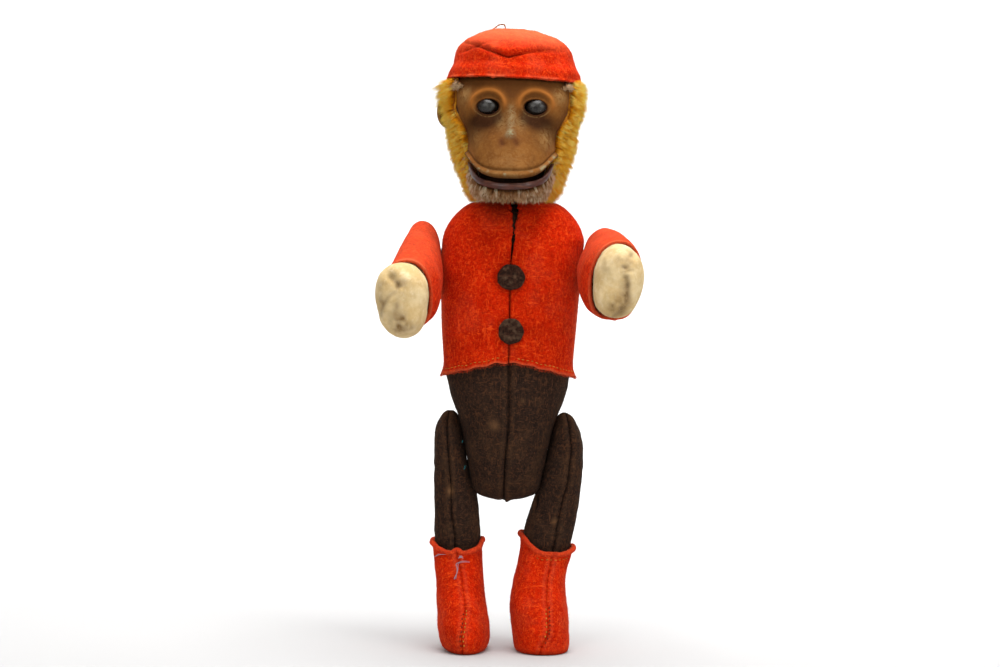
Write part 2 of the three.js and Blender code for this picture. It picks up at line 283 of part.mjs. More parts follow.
const chinOuter = side([[-15.8, 221.2], [-45.6, 219.8], [-45.4, 216.4], [-37, 213.9], [-24, 215.2], [-15.8, 218.6]], -19.2, 19.2).intersect(plan(20.2, 31.4, 200, 240)), chinRoom = side([[-10, 226], [-50, 221.6], [-50, 219.4], [-43.3, 216.9], [-36, 215.45], [-24, 216.45], [-10, 222.4]], -17.6, 17.6).intersect(plan(18.8, 30, 200, 240));
put("chin_mohair", cut(chinOuter, chinRoom, box(-60, 60, -60, 0, 218.9, 240)), GREY, jaw);
const lipPath = new THREE.CatmullRomCurve3([[-21.6, -24.5, 234.6], [-20.4, -30, 229.6], [-17.8, -36, 225.4], [-13.2, -41.6, 222.6], [-7, -45, 221.2], [0, -46.2, 220.8], [7, -45, 221.2], [13.2, -41.6, 222.6], [17.8, -36, 225.4], [20.4, -30, 229.6], [21.6, -24.5, 234.6]].map((p) => new THREE.Vector3(...p)));
const lipSolid = solid(new THREE.ExtrudeGeometry(new THREE.Shape([[-0.9, -1.5], [0.9, -1.5], [1.1, 0], [0.9, 1.5], [-0.9, 1.5], [-1.1, 0]].map(([x, y]) => new THREE.Vector2(x, y))), { steps: 18, bevelEnabled: false, extrudePath: lipPath }));
put("jaw_lip", lipSolid, LIP, jaw);
put("jaw_pin", bar("x", 0.85, -24.2, 24.2, JAW_Y, JAW_Z, 12), STEEL, head);

// ---------- neck joint ----------
put("neck_disc_lower", cut(bar("z", 12, 208.4, 210.4, 0, 0, 24), bar("z", 1.8, 200, 230, 0, 0, 14)), CARD);
put("neck_pin", join(bar("z", 1.35, 206.4, 224, 0, 0, 12), bar("z", 3.1, 205.4, 206.8, 0, 0, 14), bar("z", 3.1, 222.3, 223.6, 0, 0, 14)), STEEL);

// ---------- arms: each built level, then turned down about the shoulder axis ----------
const armRow = curve([[-14.2, 1.2, 2, 42.4], [-13, 3.4, 5.6, 42.2], [-9.5, 5.4, 10, 42], [-3, 6.5, 13.2, 42], [5, 7, 14.3, 42.4], [16, 8.2, 14.7, 43.9], [30, 10, 14.7, 46], [44, 11.4, 14.9, 47.9], [57, 12.4, 15.3, 49.6]]); // along the arm: half width, half height, centre x
const ARM_S = [-14.2, -12.6, -8, 0, 12, 32, 57];
const armLoft = (off, S2) => loft(16, S2.length, (k, phi) => { const s = S2[k], [hx, hz, xc] = armRow(min(57, s)), [x, z] = oval(phi, max(0.6, hx + off), max(0.6, hz + off), 2.2); return [xc + x, -s, z]; });
const handRow = curve([[57, 10.7, 13.5, 49.6, 0], [62, 11.2, 13.6, 49.4, -1], [68, 10.9, 12.8, 48.9, -4], [74, 10, 11.2, 48.2, -8.6], [79, 8.5, 8.8, 47.4, -13.8], [82, 6.4, 6, 47, -17.6], [83.6, 2.4, 2.4, 46.8, -19.6]]);
const HAND_S = [12, 28, 44, 57, 62, 68, 74, 79, 82, 83.6];
function handLoft() {
  return loft(16, HAND_S.length, (k, phi) => {
    const s = HAND_S[k];
    const [hx, hz, xc, zc] = s < 57 ? (() => { const [a, b, c] = armRow(s); return [a - FELT - GAP, b - FELT - GAP, c, 0]; })() : handRow(s);
    const [x, z] = oval(phi, hx, hz, 2.2);
    return [xc + x, -s, z + zc];
  });
}
for (const [side_, s] of [["left", 1], ["right", -1]]) {
  const arm = new THREE.Group();
  arm.position.z = SHOULDER_Z;
  figure.add(arm);
  const down = ((ARM_DOWN - s * ARM_BEAT) * PI) / 180;
  const limb = new THREE.Group(), rod = new THREE.Group();
  limb.rotation.x = down;
  rod.rotation.x = (-s * ARM_BEAT * PI) / 180;
  arm.add(limb, rod);
  const m = (x) => (s > 0 ? x : x.mirror([1, 0, 0]));
  const discRoomA = bar("x", 9.6, 38.7, 41.6, 0, 0, 24);
  const rodRoom = join(bar("x", 1.9, 20, 44.6, 0, 0, 14), bar("x", 3.4, 41.2, 44.6, 0, 0, 14));
  const sleeve = cut(armLoft(0, ARM_S), armLoft(-FELT, [-11.6, -8, 0, 12, 32, 57, 60]), bar("x", 2.1, 20, 41, 0, 0, 14));
  put(side_ + "_sleeve", m(sleeve), RED, limb);
  put(side_ + "_hand", m(cut(handLoft(), join(discRoomA, rodRoom))), CREAM, limb);
  put(side_ + "_arm_disc", m(cut(bar("x", 9, 39.1, 41.1, 0, 0, 24), bar("x", 1.8, 20, 60, 0, 0, 14))), CARD, limb);
  // steel shaft with the inner lever staked on and a riveted washer at its outer end
  const lever = join(box(18.9, 20.1, -12.6, 0, -1, 1), bar("x", 2.5, 18.9, 20.1, 0, 0, 14));
  put(side_ + "_arm_shaft", m(join(bar("x", 1.45, 18.9, 43.2, 0, 0, 14), lever, bar("x", 3, 41.5, 42.6, 0, 0, 14))), STEEL, rod);
  put(side_ + "_shoulder_bush", m(cut(join(bar("x", 2.9, 22.6, 31.6, 0, SHOULDER_Z, 16), bar("x", 5.2, 26.5, 27.5, 0, SHOULDER_Z, 20)), bar("x", 1.65, 10, 50, 0, SHOULDER_Z, 16))), BRASS);
}

// ---------- legs ----------
const legRow = curve([[38, 10.6, 11, 23.3], [44, 10.8, 11.2, 23.4], [52, 11, 11.3, 23.6], [60, 10.8, 11.5, 24], [68, 10.2, 11.8, 25], [76, 9.3, 12.2, 26.6], [84, 8.1, 12.8, 28.3], [92, 7.1, 13.4, 29.8], [100, 6.7, 13.6, 30.1], [106, 6.2, 12.4, 30], [111, 4.6, 8.4, 29.6], [113.4, 2.6, 4.4, 29.4], [114.2, 1, 1.6, 29.4]]);
const LEG_Z = [38, 54, 66, 78, 90, 100, 108, 112.4, 114.2];
const legLoft = (off, zs = LEG_Z, seg = 16) => loft(seg, zs.length, (k, phi) => { const z = zs[k], [hx, hy, xc] = legRow(max(38, z)), [x, y] = oval(phi, max(0.6, hx + off), max(0.6, hy + off), 2.25); return [xc + x, y, z]; });
const bootRow = curve([[0, 11, 21, 20.6, -10.5], [1.2, 12.2, 22.6, 20.6, -10.5], [5, 13, 23.7, 20.7, -10.6], [12, 13.1, 23.4, 20.9, -10.3], [20, 12.8, 20.4, 21.3, -8], [28, 12.4, 16.6, 21.9, -4.8], [36, 12.2, 13.8, 22.6, -1.8], [44, 12.3, 13, 23.2, -0.4], [52, 12.6, 13.2, 23.6, 0], [57, 13.6, 14, 23.8, 0]]);
const BOOT_Z = [0, 1.6, 8, 17, 27, 37, 49, 57];
const bootLoft = () => loft(18, BOOT_Z.length, (k, phi) => { const z = BOOT_Z[k], [hx, hy, xc, yc] = bootRow(z), [x, y] = oval(phi, hx, hy, 2.4); const yy = y + yc; return [xc + x + min(0, yy + 8) * 0.09, yy, z - (k === 7 ? 2.2 * max(0, -sin(phi)) : 0)]; });
for (const [side_, s] of [["left", 1], ["right", -1]]) {
  const m = (x) => (s > 0 ? x : x.mirror([1, 0, 0]));
  const leg = new THREE.Group();
  figure.add(leg);
  const pinRoom = join(bar("x", 1.55, 18, 30, 0, HIP_Z, 14), bar("x", 3.1, 27.6, 29.9, 0, HIP_Z, 14), bar("x", 10.4, 25, 27.7, 0, HIP_Z, 24));
  put(side_ + "_trouser_leg", m(cut(legLoft(0), pinRoom)), BROWN, leg);
  put(side_ + "_boot", m(cut(bootLoft(), legLoft(GAP, [37.6, 52, 60, 68]))), RED, leg);
  put(side_ + "_hip_disc_outer", m(cut(bar("x", 10, 25.35, 27.35, 0, HIP_Z, 24), bar("x", 1.55, 10, 40, 0, HIP_Z, 14))), CARD, leg);
  put(side_ + "_hip_disc_inner", m(cut(bar("x", 10, 15.8, 17.8, 0, HIP_Z, 24), bar("x", 1.55, 10, 40, 0, HIP_Z, 14))), CARD);
  put(side_ + "_hip_pin", m(join(bar("x", 1.2, 14.2, 29.4, 0, HIP_Z, 12), bar("x", 2.7, 14.2, 15.4, 0, HIP_Z, 14), bar("x", 2.7, 27.9, 29, 0, HIP_Z, 14))), STEEL);
}

const part = new THREE.Group();
part.add(figure);
export default part;
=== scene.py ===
# The looks of the felt page-boy monkey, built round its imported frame. Millimetres in the figure's own axes (spine at
# x = 0, y = 0) are turned into the frame's metres by V().
import math
import bpy
import numpy as np
from mathutils import Matrix, Vector


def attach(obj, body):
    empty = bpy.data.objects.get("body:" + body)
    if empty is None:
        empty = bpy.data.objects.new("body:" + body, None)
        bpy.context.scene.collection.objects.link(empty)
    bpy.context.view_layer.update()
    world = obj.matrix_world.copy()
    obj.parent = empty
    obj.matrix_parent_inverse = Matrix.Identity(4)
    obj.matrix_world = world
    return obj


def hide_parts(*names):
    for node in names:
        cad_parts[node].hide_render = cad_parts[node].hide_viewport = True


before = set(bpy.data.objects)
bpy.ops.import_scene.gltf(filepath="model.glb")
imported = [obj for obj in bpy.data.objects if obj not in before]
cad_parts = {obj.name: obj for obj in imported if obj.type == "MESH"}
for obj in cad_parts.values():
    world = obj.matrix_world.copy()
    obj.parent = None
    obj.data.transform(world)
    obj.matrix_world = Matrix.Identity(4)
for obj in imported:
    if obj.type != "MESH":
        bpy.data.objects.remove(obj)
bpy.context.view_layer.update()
scene = bpy.context.scene
RNG = np.random.default_rng(7)
PI = math.pi
Y0 = 16.5            # the spine line lies this far behind the frame's origin, in mm
SHOULDER_Z, HIP_Z = 191.0, 100.0


def V(p):
    return (np.asarray(p, float) + [0.0, Y0, 0.0]) / 1000.0


# ------------------------------------------------------------------ camera and light
def camera():
    cam = bpy.data.cameras.new("camera")
    cam.lens, cam.sensor_width = 81.65, 36.0
    cam.clip_start, cam.clip_end = 0.05, 20
    ob = bpy.data.objects.new("camera", cam)
    scene.collection.objects.link(ob)
    ob.matrix_world = Matrix.Translation(V([-4.4, -1100.0, 151.7])) @ Matrix.Rotation(math.radians(90), 4, "X") @ Matrix.Rotation(math.radians(1.1), 4, "Z")
    scene.camera = ob


camera()


def area(name, at, to, size, power, color=(1, 1, 1)):
    li = bpy.data.lights.new(name, "AREA")
    li.shape, li.size, li.energy, li.color = "DISK", size, power, color
    ob = bpy.data.objects.new(name, li)
    scene.collection.objects.link(ob)
    at, to = Vector(at), Vector(to)
    ob.matrix_world = Matrix.Translation(at) @ (to - at).to_track_quat("-Z", "Y").to_matrix().to_4x4()
    return ob


# ------------------------------------------------------------------ number helpers
def lin(r, g, b):
    return tuple(((c / 255) / 12.92 if c / 255 <= 0.04045 else ((c / 255 + 0.055) / 1.055) ** 2.4) for c in (r, g, b))


def curve(rows):
    r = np.asarray(rows, float)
    t, v = r[:, 0], r[:, 1:]
    h = np.diff(t)
    d = np.diff(v, axis=0) / h[:, None]
    m = np.zeros_like(v)
    m[0], m[-1] = d[0], d[-1]
    for i in range(1, len(t) - 1):
        for j in range(v.shape[1]):
            a, b = d[i - 1, j], d[i, j]
            if a * b > 0:
                w1, w2 = 2 * h[i] + h[i - 1], h[i] + 2 * h[i - 1]
                m[i, j] = (w1 + w2) / (w1 / a + w2 / b)

    def f(x):
        x = np.asarray(x, float)
        xx = np.clip(x, t[0], t[-1])
        i = np.clip(np.searchsorted(t, xx, "right") - 1, 0, len(t) - 2)
        s = ((xx - t[i]) / h[i])[..., None]
        hh = h[i][..., None]
        return (2 * s**3 - 3 * s**2 + 1) * v[i] + (s**3 - 2 * s**2 + s) * hh * m[i] + (-2 * s**3 + 3 * s**2) * v[i + 1] + (s**3 - s**2) * hh * m[i + 1]

    return f


def _hash(ix, iy, iz, seed):
    n = ix.astype(np.uint64) * np.uint64(374761393) + iy.astype(np.uint64) * np.uint64(668265263) + iz.astype(np.uint64) * np.uint64(2246822519) + np.uint64(seed * 3266489917 + 1)
    n &= np.uint64(0xFFFFFFFF)
    n = ((n ^ (n >> np.uint64(13))) * np.uint64(1274126177)) & np.uint64(0xFFFFFFFF)
    n = ((n ^ (n >> np.uint64(16))) * np.uint64(2246822507)) & np.uint64(0xFFFFFFFF)
    n ^= n >> np.uint64(15)
    return n.astype(float) / 4294967295.0 * 2 - 1


def noise(p, scale, seed=0):
    """Smooth value noise, about -1 to 1, with features of about `scale` mm."""
    p = np.asarray(p, float) / scale + 1000.0
    i = np.floor(p).astype(np.int64)
    f = p - i
    f = f * f * (3 - 2 * f)
    out = 0
    for dx in (0, 1):
        for dy in (0, 1):
            for dz in (0, 1):
                w = (f[..., 0] if dx else 1 - f[..., 0]) * (f[..., 1] if dy else 1 - f[..., 1]) * (f[..., 2] if dz else 1 - f[..., 2])
                out = out + w * _hash(i[..., 0] + dx, i[..., 1] + dy, i[..., 2] + dz, seed)
    return out


def fbm(p, scale, octaves=3, seed=0):
    return sum(noise(p, scale / 2**k, seed + 17 * k) * 0.55**k for k in range(octaves))


def bump(x, c, w):
    return np.exp(-(((np.asarray(x) - c) / w) ** 2))


def step(a, b, x):
    t = np.clip((np.asarray(x, float) - a) / (b - a), 0, 1)
    return t * t * (3 - 2 * t)


def oval(phi, a, b, n):
    c, s = np.cos(phi), np.sin(phi)
    return a * np.sign(c) * np.abs(c) ** (2 / n), b * np.sign(s) * np.abs(s) ** (2 / n)


def normals(G, wrap=True):
    """Normals of a grid [rows, cols, 3]; cols run round."""
    if wrap:
        du = np.roll(G, -1, 1) - np.roll(G, 1, 1)
    else:
        du = np.gradient(G, axis=1)
    dv = np.gradient(G, axis=0)
    n = np.cross(du, dv)
    return n / np.maximum(np.linalg.norm(n, axis=-1, keepdims=True), 1e-9)


# ------------------------------------------------------------------ meshes
def mesh(name, verts, faces, mat, body, attrs=None, fmat=None, smooth=True, stands_for=(), slot=None, mods=()):
    """verts in mm; faces a list of integer arrays, each [n, k]."""
    me = bpy.data.meshes.new(name)
    faces = [np.asarray(f, np.int32) for f in (faces if isinstance(faces, list) else [faces]) if len(f)]
    co = V(verts).astype(np.float32)
    me.vertices.add(len(co))
    me.vertices.foreach_set("co", co.ravel())
    loops = np.concatenate([f.ravel() for f in faces])
    sizes = np.concatenate([np.full(len(f), f.shape[1], np.int32) for f in faces])
    me.loops.add(len(loops))
    me.loops.foreach_set("vertex_index", loops)
    me.polygons.add(len(sizes))
    starts = np.concatenate([[0], np.cumsum(sizes)[:-1]]).astype(np.int32)
    me.polygons.foreach_set("loop_start", starts)
    me.polygons.foreach_set("use_smooth", np.full(len(sizes), smooth))
    for m in mat if isinstance(mat, (list, tuple)) else [mat]:
        me.materials.append(m)
    if fmat is not None:
        me.polygons.foreach_set("material_index", np.asarray(fmat, np.int32))
    me.update(calc_edges=True)
    me.validate()
    for k, a in (attrs or {}).items():
        a = np.asarray(a, np.float32)
        at = me.attributes.new(k, "FLOAT", "POINT")
        at.data.foreach_set("value", a.ravel())
    ob = bpy.data.objects.new(name, me)
    scene.collection.objects.link(ob)
    for kind, props in mods:
        md = ob.modifiers.new(kind.lower(), kind)
        for k, v in props.items():
            setattr(md, k, v)
    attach(ob, body)
    if stands_for:
        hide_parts(*stands_for)
    return ob


def grid_faces(rows, cols, wrap=True, base=0):
    r, c = np.meshgrid(np.arange(rows - 1), np.arange(cols if wrap else cols - 1), indexing="ij")
    c2 = (c + 1) % cols
    return (np.stack([r * cols + c, r * cols + c2, (r + 1) * cols + c2, (r + 1) * cols + c], -1).reshape(-1, 4) + base).astype(np.int32)


def loft(name, G, mat, body, cap=(True, True), attrs=None, **kw):
    """A tube of rings G [rows, cols, 3], closed at either end by a fan."""
    rows, cols = G.shape[:2]
    v = G.reshape(-1, 3)
    faces = [grid_faces(rows, cols)]
    at = {k: np.asarray(a, float).reshape(-1) for k, a in (attrs or {}).items()}
    i = np.arange(cols)
    if cap[0]:
        v = np.vstack([v, G[0].mean(0)])
        faces.append(np.stack([np.full(cols, len(v) - 1), (i + 1) % cols, i], -1))
        at = {k: np.append(a, a[:cols].mean()) for k, a in at.items()}
    if cap[1]:
        v = np.vstack([v, G[-1].mean(0)])
        e = (rows - 1) * cols
        faces.append(np.stack([np.full(cols, len(v) - 1), e + i, e + (i + 1) % cols], -1))
        at = {k: np.append(a, a[rows * cols - cols : rows * cols].mean()) for k, a in at.items()}
    return mesh(name, v, faces, mat, body, attrs=at, **kw)


SOLID = lambda t, off=-1.0: ("SOLIDIFY", dict(thickness=t / 1000.0, offset=off, use_even_offset=False, use_rim=True))


def scatter(G, n, wrap=True, weight=None, seed=0):
    """n random points on a grid, area weighted: positions, normals, and the row and column they fall at."""
    rng = np.random.default_rng(seed)
    rows, cols = G.shape[:2]
    F = grid_faces(rows, cols, wrap)
    P = G.reshape(-1, 3)
    N = normals(G, wrap).reshape(-1, 3)
    a = np.linalg.norm(np.cross(P[F[:, 2]] - P[F[:, 0]], P[F[:, 3]] - P[F[:, 1]]), axis=1) / 2
    if weight is not None:
        a = a * np.asarray(weight).reshape(-1)[F].mean(1)
    k = rng.choice(len(F), n, p=a / a.sum())
    u, w = rng.random((2, n, 1))
    q = F[k]
    mix = lambda A: (1 - w) * ((1 - u) * A[q[:, 0]] + u * A[q[:, 1]]) + w * ((1 - u) * A[q[:, 3]] + u * A[q[:, 2]])
    nn = mix(N)
    return mix(P), nn / np.maximum(np.linalg.norm(nn, axis=1, keepdims=True), 1e-9), q[:, 0]


def strands(name, root, d, length, radius, mat, body, seg=1, droop=None, tint=None, taper=0.15, wave=0.0, seed=0, **kw):
    """Closed three-sided tapering hairs from root along d; droop is added over the length; tint is a per-hair number."""
    rng = np.random.default_rng(seed + 99)
    n = len(root)
    d = d / np.maximum(np.linalg.norm(d, axis=1, keepdims=True), 1e-9)
    length = np.broadcast_to(np.asarray(length, float), (n,))[:, None]
    radius = np.broadcast_to(np.asarray(radius, float), (n,))[:, None]
    droop = np.zeros((n, 3)) if droop is None else np.broadcast_to(droop, (n, 3))
    ref = rng.normal(size=(n, 3))
    a = np.cross(d, ref)
    a /= np.maximum(np.linalg.norm(a, axis=1, keepdims=True), 1e-9)
    b = np.cross(d, a)
    rings, vals = [], []
    ph = rng.random((n, 1)) * 6.28
    for s in range(seg):
        t = s / seg
        c = root + d * length * t + droop * length * t * t + (a * np.sin(ph + t * 5) + b * np.cos(ph + t * 4)) * wave * t * length
        r = radius * (1 - t * (1 - taper)) if seg > 1 else radius
        for k in range(3):
            an = 2 * PI * k / 3
            rings.append(c + (a * math.cos(an) + b * math.sin(an)) * r)
        vals += [t] * 3
    tip = root + d * length + droop * length + (a * np.sin(ph + 5) + b * np.cos(ph + 4)) * wave * length
    rings.append(tip)
    vals.append(1.0)
    m = len(rings)
    v = np.stack(rings, 1).reshape(-1, 3)
    base = (np.arange(n) * m)[:, None]
    tri, quad = [[0, 2, 1]], []
    for s in range(seg - 1):
        for k in range(3):
            quad.append([3 * s + k, 3 * s + (k + 1) % 3, 3 * s + 3 + (k + 1) % 3, 3 * s + 3 + k])
    e = 3 * (seg - 1)
    tri += [[e, e + 1, m - 1], [e + 1, e + 2, m - 1], [e + 2, e, m - 1]]
    faces = [(base[:, :, None] + np.asarray(tri)[None]).reshape(-1, 3)]
    if quad:
        faces.append((base[:, :, None] + np.asarray(quad)[None]).reshape(-1, 4))
    at = {"along": np.tile(vals, n), "tint": np.repeat(rng.random(n) if tint is None else tint, m)}
    return mesh(name, v, faces, mat, body, attrs=at, **kw)


def sweep(path, wid, hei, up=None, cols=16, n=2.0, twist=None):
    """Rings of an oval section along a path; up gives each ring's second axis."""
    path = np.asarray(path, float)
    t = np.gradient(path, axis=0)
    t /= np.linalg.norm(t, axis=1, keepdims=True)
    up = np.broadcast_to(np.asarray([0, 0, 1.0] if up is None else up, float), path.shape)
    s = np.cross(t, up)
    s /= np.maximum(np.linalg.norm(s, axis=1, keepdims=True), 1e-9)
    u = np.cross(s, t)
    phi = np.linspace(0, 2 * PI, cols, endpoint=False)
    wid = np.broadcast_to(wid, (len(path),))
    hei = np.broadcast_to(hei, (len(path),))
    out = []
    for i in range(len(path)):
        x, y = oval(phi, wid[i], hei[i], n)
        out.append(path[i] + s[i] * x[:, None] + u[i] * y[:, None])
    return np.asarray(out)


def spline(pts, n):
    pts = np.asarray(pts, float)
    t = np.concatenate([[0], np.cumsum(np.linalg.norm(np.diff(pts, axis=0), axis=1))])
    return curve(np.hstack([t[:, None], pts]))(np.linspace(0, t[-1], n))


def thread_run(name, pts, mat, body, pitch=2.3, length=1.45, r=0.2, seed=0, slot=None):
    """Running stitches: short fat capsules laid along a line, dipping in at both ends. pts carry (xyz, normal)."""
    rng = np.random.default_rng(seed)
    P, N = pts
    s = np.concatenate([[0], np.cumsum(np.linalg.norm(np.diff(P, axis=0), axis=1))])
    vs, fs, base = [], [], 0
    for c in np.arange(pitch / 2, s[-1] - pitch / 2, pitch):
        c += rng.normal() * 0.12
        q = np.linspace(-0.5, 0.5, 7)
        at = np.clip(c + q * length * rng.uniform(0.85, 1.1), 0, s[-1])
        path = np.stack([np.interp(at, s, P[:, k]) for k in range(3)], 1)
        nn = np.stack([np.interp(at, s, N[:, k]) for k in range(3)], 1)
        path = path + nn * (0.12 - 1.6 * (q[:, None] ** 2)) + rng.normal(size=3) * 0.05
        rad = r * np.sqrt(np.clip(1 - (2 * q) ** 2 * 0.85, 0.05, 1))
        G = sweep(path, rad, rad, up=nn.mean(0) + 1e-3, cols=8)
        m = G.shape[0] * 8
        v = np.vstack([G.reshape(-1, 3), G[0].mean(0), G[-1].mean(0)])
        i = np.arange(8)
        f4 = grid_faces(7, 8, True, base)
        fs.append(f4)
        fs.append(np.stack([np.full(8, base + m), base + (i + 1) % 8, base + i], -1))
        fs.append(np.stack([np.full(8, base + m + 1), base + m - 8 + i, base + m - 8 + (i + 1) % 8], -1))
        vs.append(v)
        base += len(v)
    quads = [f for f in fs if f.shape[1] == 4]
    tris = [f for f in fs if f.shape[1] == 3]
    return mesh(name, np.vstack(vs), [np.vstack(quads), np.vstack(tris)], mat, body, slot=slot)


def tufts(p, d, length, cell, draw=0.8, seed=0):
    """Hairs gathered into locks: each is drawn to the tip of the lock nearest its root. Gives direction, length, lock tint."""
    rng = np.random.default_rng(seed + 31)
    k = rng.choice(len(p), max(8, int(len(p) / cell)), replace=False)
    near = np.concatenate([np.argmin(((q[:, None] - p[k][None]) ** 2).sum(-1), 1) for q in np.array_split(p, max(1, len(p) // 1500))])
    d = d / np.linalg.norm(d, axis=1, keepdims=True)
    dk = d[k] + rng.normal(size=(len(k), 3)) * 0.16
    lk = np.asarray(length)[k] * rng.uniform(0.8, 1.2, len(k))
    tip = (p[k] + dk * lk[:, None])[near] + rng.normal(size=p.shape) * 0.34
    own = p + d * np.asarray(length)[:, None]
    to = own * (1 - draw) + tip * draw - p
    ln = np.linalg.norm(to, axis=1)
    return to / ln[:, None], ln, rng.random(len(k))[near]


# ------------------------------------------------------------------ materials
class Mat:
    def __init__(self, name, **bsdf):
        self.m = bpy.data.materials.new(name)
        self.m.use_nodes = True
        self.t = self.m.node_tree
        self.t.nodes.clear()
        self.out = self.t.nodes.new("ShaderNodeOutputMaterial")
        self.b = self.t.nodes.new("ShaderNodeBsdfPrincipled")
        self.t.links.new(self.b.outputs[0], self.out.inputs[0])
        for k, v in bsdf.items():
            self.b.inputs[k.replace("_", " ")].default_value = v
        self.co = self.t.nodes.new("ShaderNodeTexCoord").outputs["Object"]

    def link(self, a, b):
        self.t.links.new(a, b)

    def set(self, sock, v):
        if isinstance(v, bpy.types.NodeSocket):
            self.t.links.new(v, sock)
        elif isinstance(v, (tuple, list)) and len(v) == 3 and sock.type == "RGBA":
            sock.default_value = (*v, 1)
        else:
            sock.default_value = v

    def noise(self, scale, detail=3, rough=0.6, distort=0.0, stretch=None, rot=None):
        n = self.t.nodes.new("ShaderNodeTexNoise")
        n.inputs["Scale"].default_value = scale
        n.inputs["Detail"].default_value = detail
        n.inputs["Roughness"].default_value = rough
        n.inputs["Distortion"].default_value = distort
        co = self.co
        if stretch or rot:
            mp = self.t.nodes.new("ShaderNodeMapping")
            mp.inputs["Scale"].default_value = stretch or (1, 1, 1)
            mp.inputs["Rotation"].default_value = rot or (0, 0, 0)
            self.link(co, mp.inputs["Vector"])
            co = mp.outputs[0]
        self.link(co, n.inputs["Vector"])
        return n.outputs["Fac"]

    def voronoi(self, scale, feature="F1"):
        n = self.t.nodes.new("ShaderNodeTexVoronoi")
        n.feature = feature
        n.inputs["Scale"].default_value = scale
        self.link(self.co, n.inputs["Vector"])
        return n.outputs["Distance"]

    def attr(self, name):
        n = self.t.nodes.new("ShaderNodeAttribute")
        n.attribute_name = name
        return n.outputs["Fac"]

    def ramp(self, v, a, b, lo=0.0, hi=1.0):
        n = self.t.nodes.new("ShaderNodeMapRange")
        n.inputs["From Min"].default_value = a
        n.inputs["From Max"].default_value = b
        n.inputs["To Min"].default_value = lo
        n.inputs["To Max"].default_value = hi
        n.interpolation_type = "SMOOTHSTEP"
        self.set(n.inputs["Value"], v)
        return n.outputs[0]

    def math(self, op, a, b=0.0):
        n = self.t.nodes.new("ShaderNodeMath")
        n.operation = op
        self.set(n.inputs[0], a)
        self.set(n.inputs[1], b)
        return n.outputs[0]

    def mix(self, fac, a, b, blend="MIX"):
        n = self.t.nodes.new("ShaderNodeMix")
        n.data_type, n.blend_type = "RGBA", blend
        self.set(n.inputs["Factor"], fac)
        self.set(n.inputs[6], a)
        self.set(n.inputs[7], b)
        return n.outputs[2]

    def bumps(self, *layers):
        """layers of (height socket, distance in mm, strength)."""
        prev = None
        for h, dist, st in layers:
            n = self.t.nodes.new("ShaderNodeBump")
            n.inputs["Distance"].default_value = dist / 1000.0
            n.inputs["Strength"].default_value = st
            self.link(h, n.inputs["Height"])
            if prev is not None:
                self.link(prev, n.inputs["Normal"])
            prev = n.outputs[0]
        self.link(prev, self.b.inputs["Normal"])
        return self

    def color(self, c):
        self.link(c, self.b.inputs["Base Color"])
        return self

    def rough(self, r):
        self.link(r, self.b.inputs["Roughness"])
        return self


def felt(name, base, dark, light, lint, lint_at=0.66, sheen=0.08, tint=(1, 0.5, 0.35), fibre=0.5, grain=0.5, blot=0.4):
    m = Mat(name, Roughness=0.95, Sheen_Weight=sheen, Sheen_Roughness=0.4, Sheen_Tint=(*tint, 1), Specular_IOR_Level=0.02)
    blotch = m.noise(95, 3, 0.6)
    mid = m.noise(640, 5, 0.8, 0.4)
    grit = m.noise(1500, 3, 0.8, 0.6)
    fib1 = m.noise(620, 3, 0.7, 1.8, stretch=(1.0, 1.0, 0.22), rot=(0.3, 0.5, 0.2))
    fib2 = m.noise(620, 3, 0.7, 1.8, stretch=(0.22, 1.0, 1.0), rot=(0.2, 0.6, 0.5))
    fibs = m.math("MAXIMUM", fib1, fib2)
    c = m.mix(m.math("MULTIPLY", m.ramp(blotch, 0.35, 0.65, 1.0, 0.0), blot), base, dark)
    c = m.mix(m.math("MULTIPLY", m.ramp(mid, 0.36, 0.52, 1.0, 0.0), grain * 1.3), c, dark)
    c = m.mix(m.math("MULTIPLY", m.ramp(mid, 0.52, 0.68), grain), c, light)
    c = m.mix(m.math("MULTIPLY", m.ramp(grit, 0.52, 0.7), grain * 0.6), c, light)
    c = m.mix(m.math("MULTIPLY", m.ramp(fibs, lint_at - 0.08, lint_at + 0.05), fibre), c, light)
    c = m.mix(m.math("MULTIPLY", m.ramp(m.noise(1100, 2, 0.8, 2.4, stretch=(1, 0.25, 1), rot=(0.9, 0.2, 0.4)), 0.69, 0.76), 0.55), c, lint)
    # lightening towards the lint colour: rubbed felt, and painted highlight on tops, ridges and edges that face the
    # light; darkening: painted shade in seams, creases and gaps, with some grime
    c = m.mix(m.attr("wear_and_highlight"), c, lint)
    c = m.mix(m.attr("shade_and_grime"), c, tuple(x * 0.25 for x in dark))
    m.color(c)
    m.bumps((blotch, 0.4, 0.25), (mid, 0.4, 0.7), (fibs, 0.25, 0.6))
    return m.m


RED_FELT = felt("red_felt", lin(200, 34, 4), lin(142, 13, 1), lin(236, 78, 24), lin(248, 148, 100), tint=(1, 0.42, 0.22), sheen=0.08, fibre=0.7, grain=0.58, lint_at=0.63)
DARK_FELT = felt("dark_felt", lin(45, 33, 27), lin(27, 20, 18), lin(84, 54, 36), lin(134, 96, 64), tint=(1, 0.85, 0.7), sheen=0.02, fibre=0.75, grain=0.6, blot=0.3, lint_at=0.62)
BUTTON_FELT = felt("button_felt", lin(48, 31, 24), lin(29, 19, 16), lin(78, 52, 40), lin(132, 106, 84), tint=(1, 0.85, 0.7), sheen=0.02, fibre=0.6, lint_at=0.62, grain=0.7)


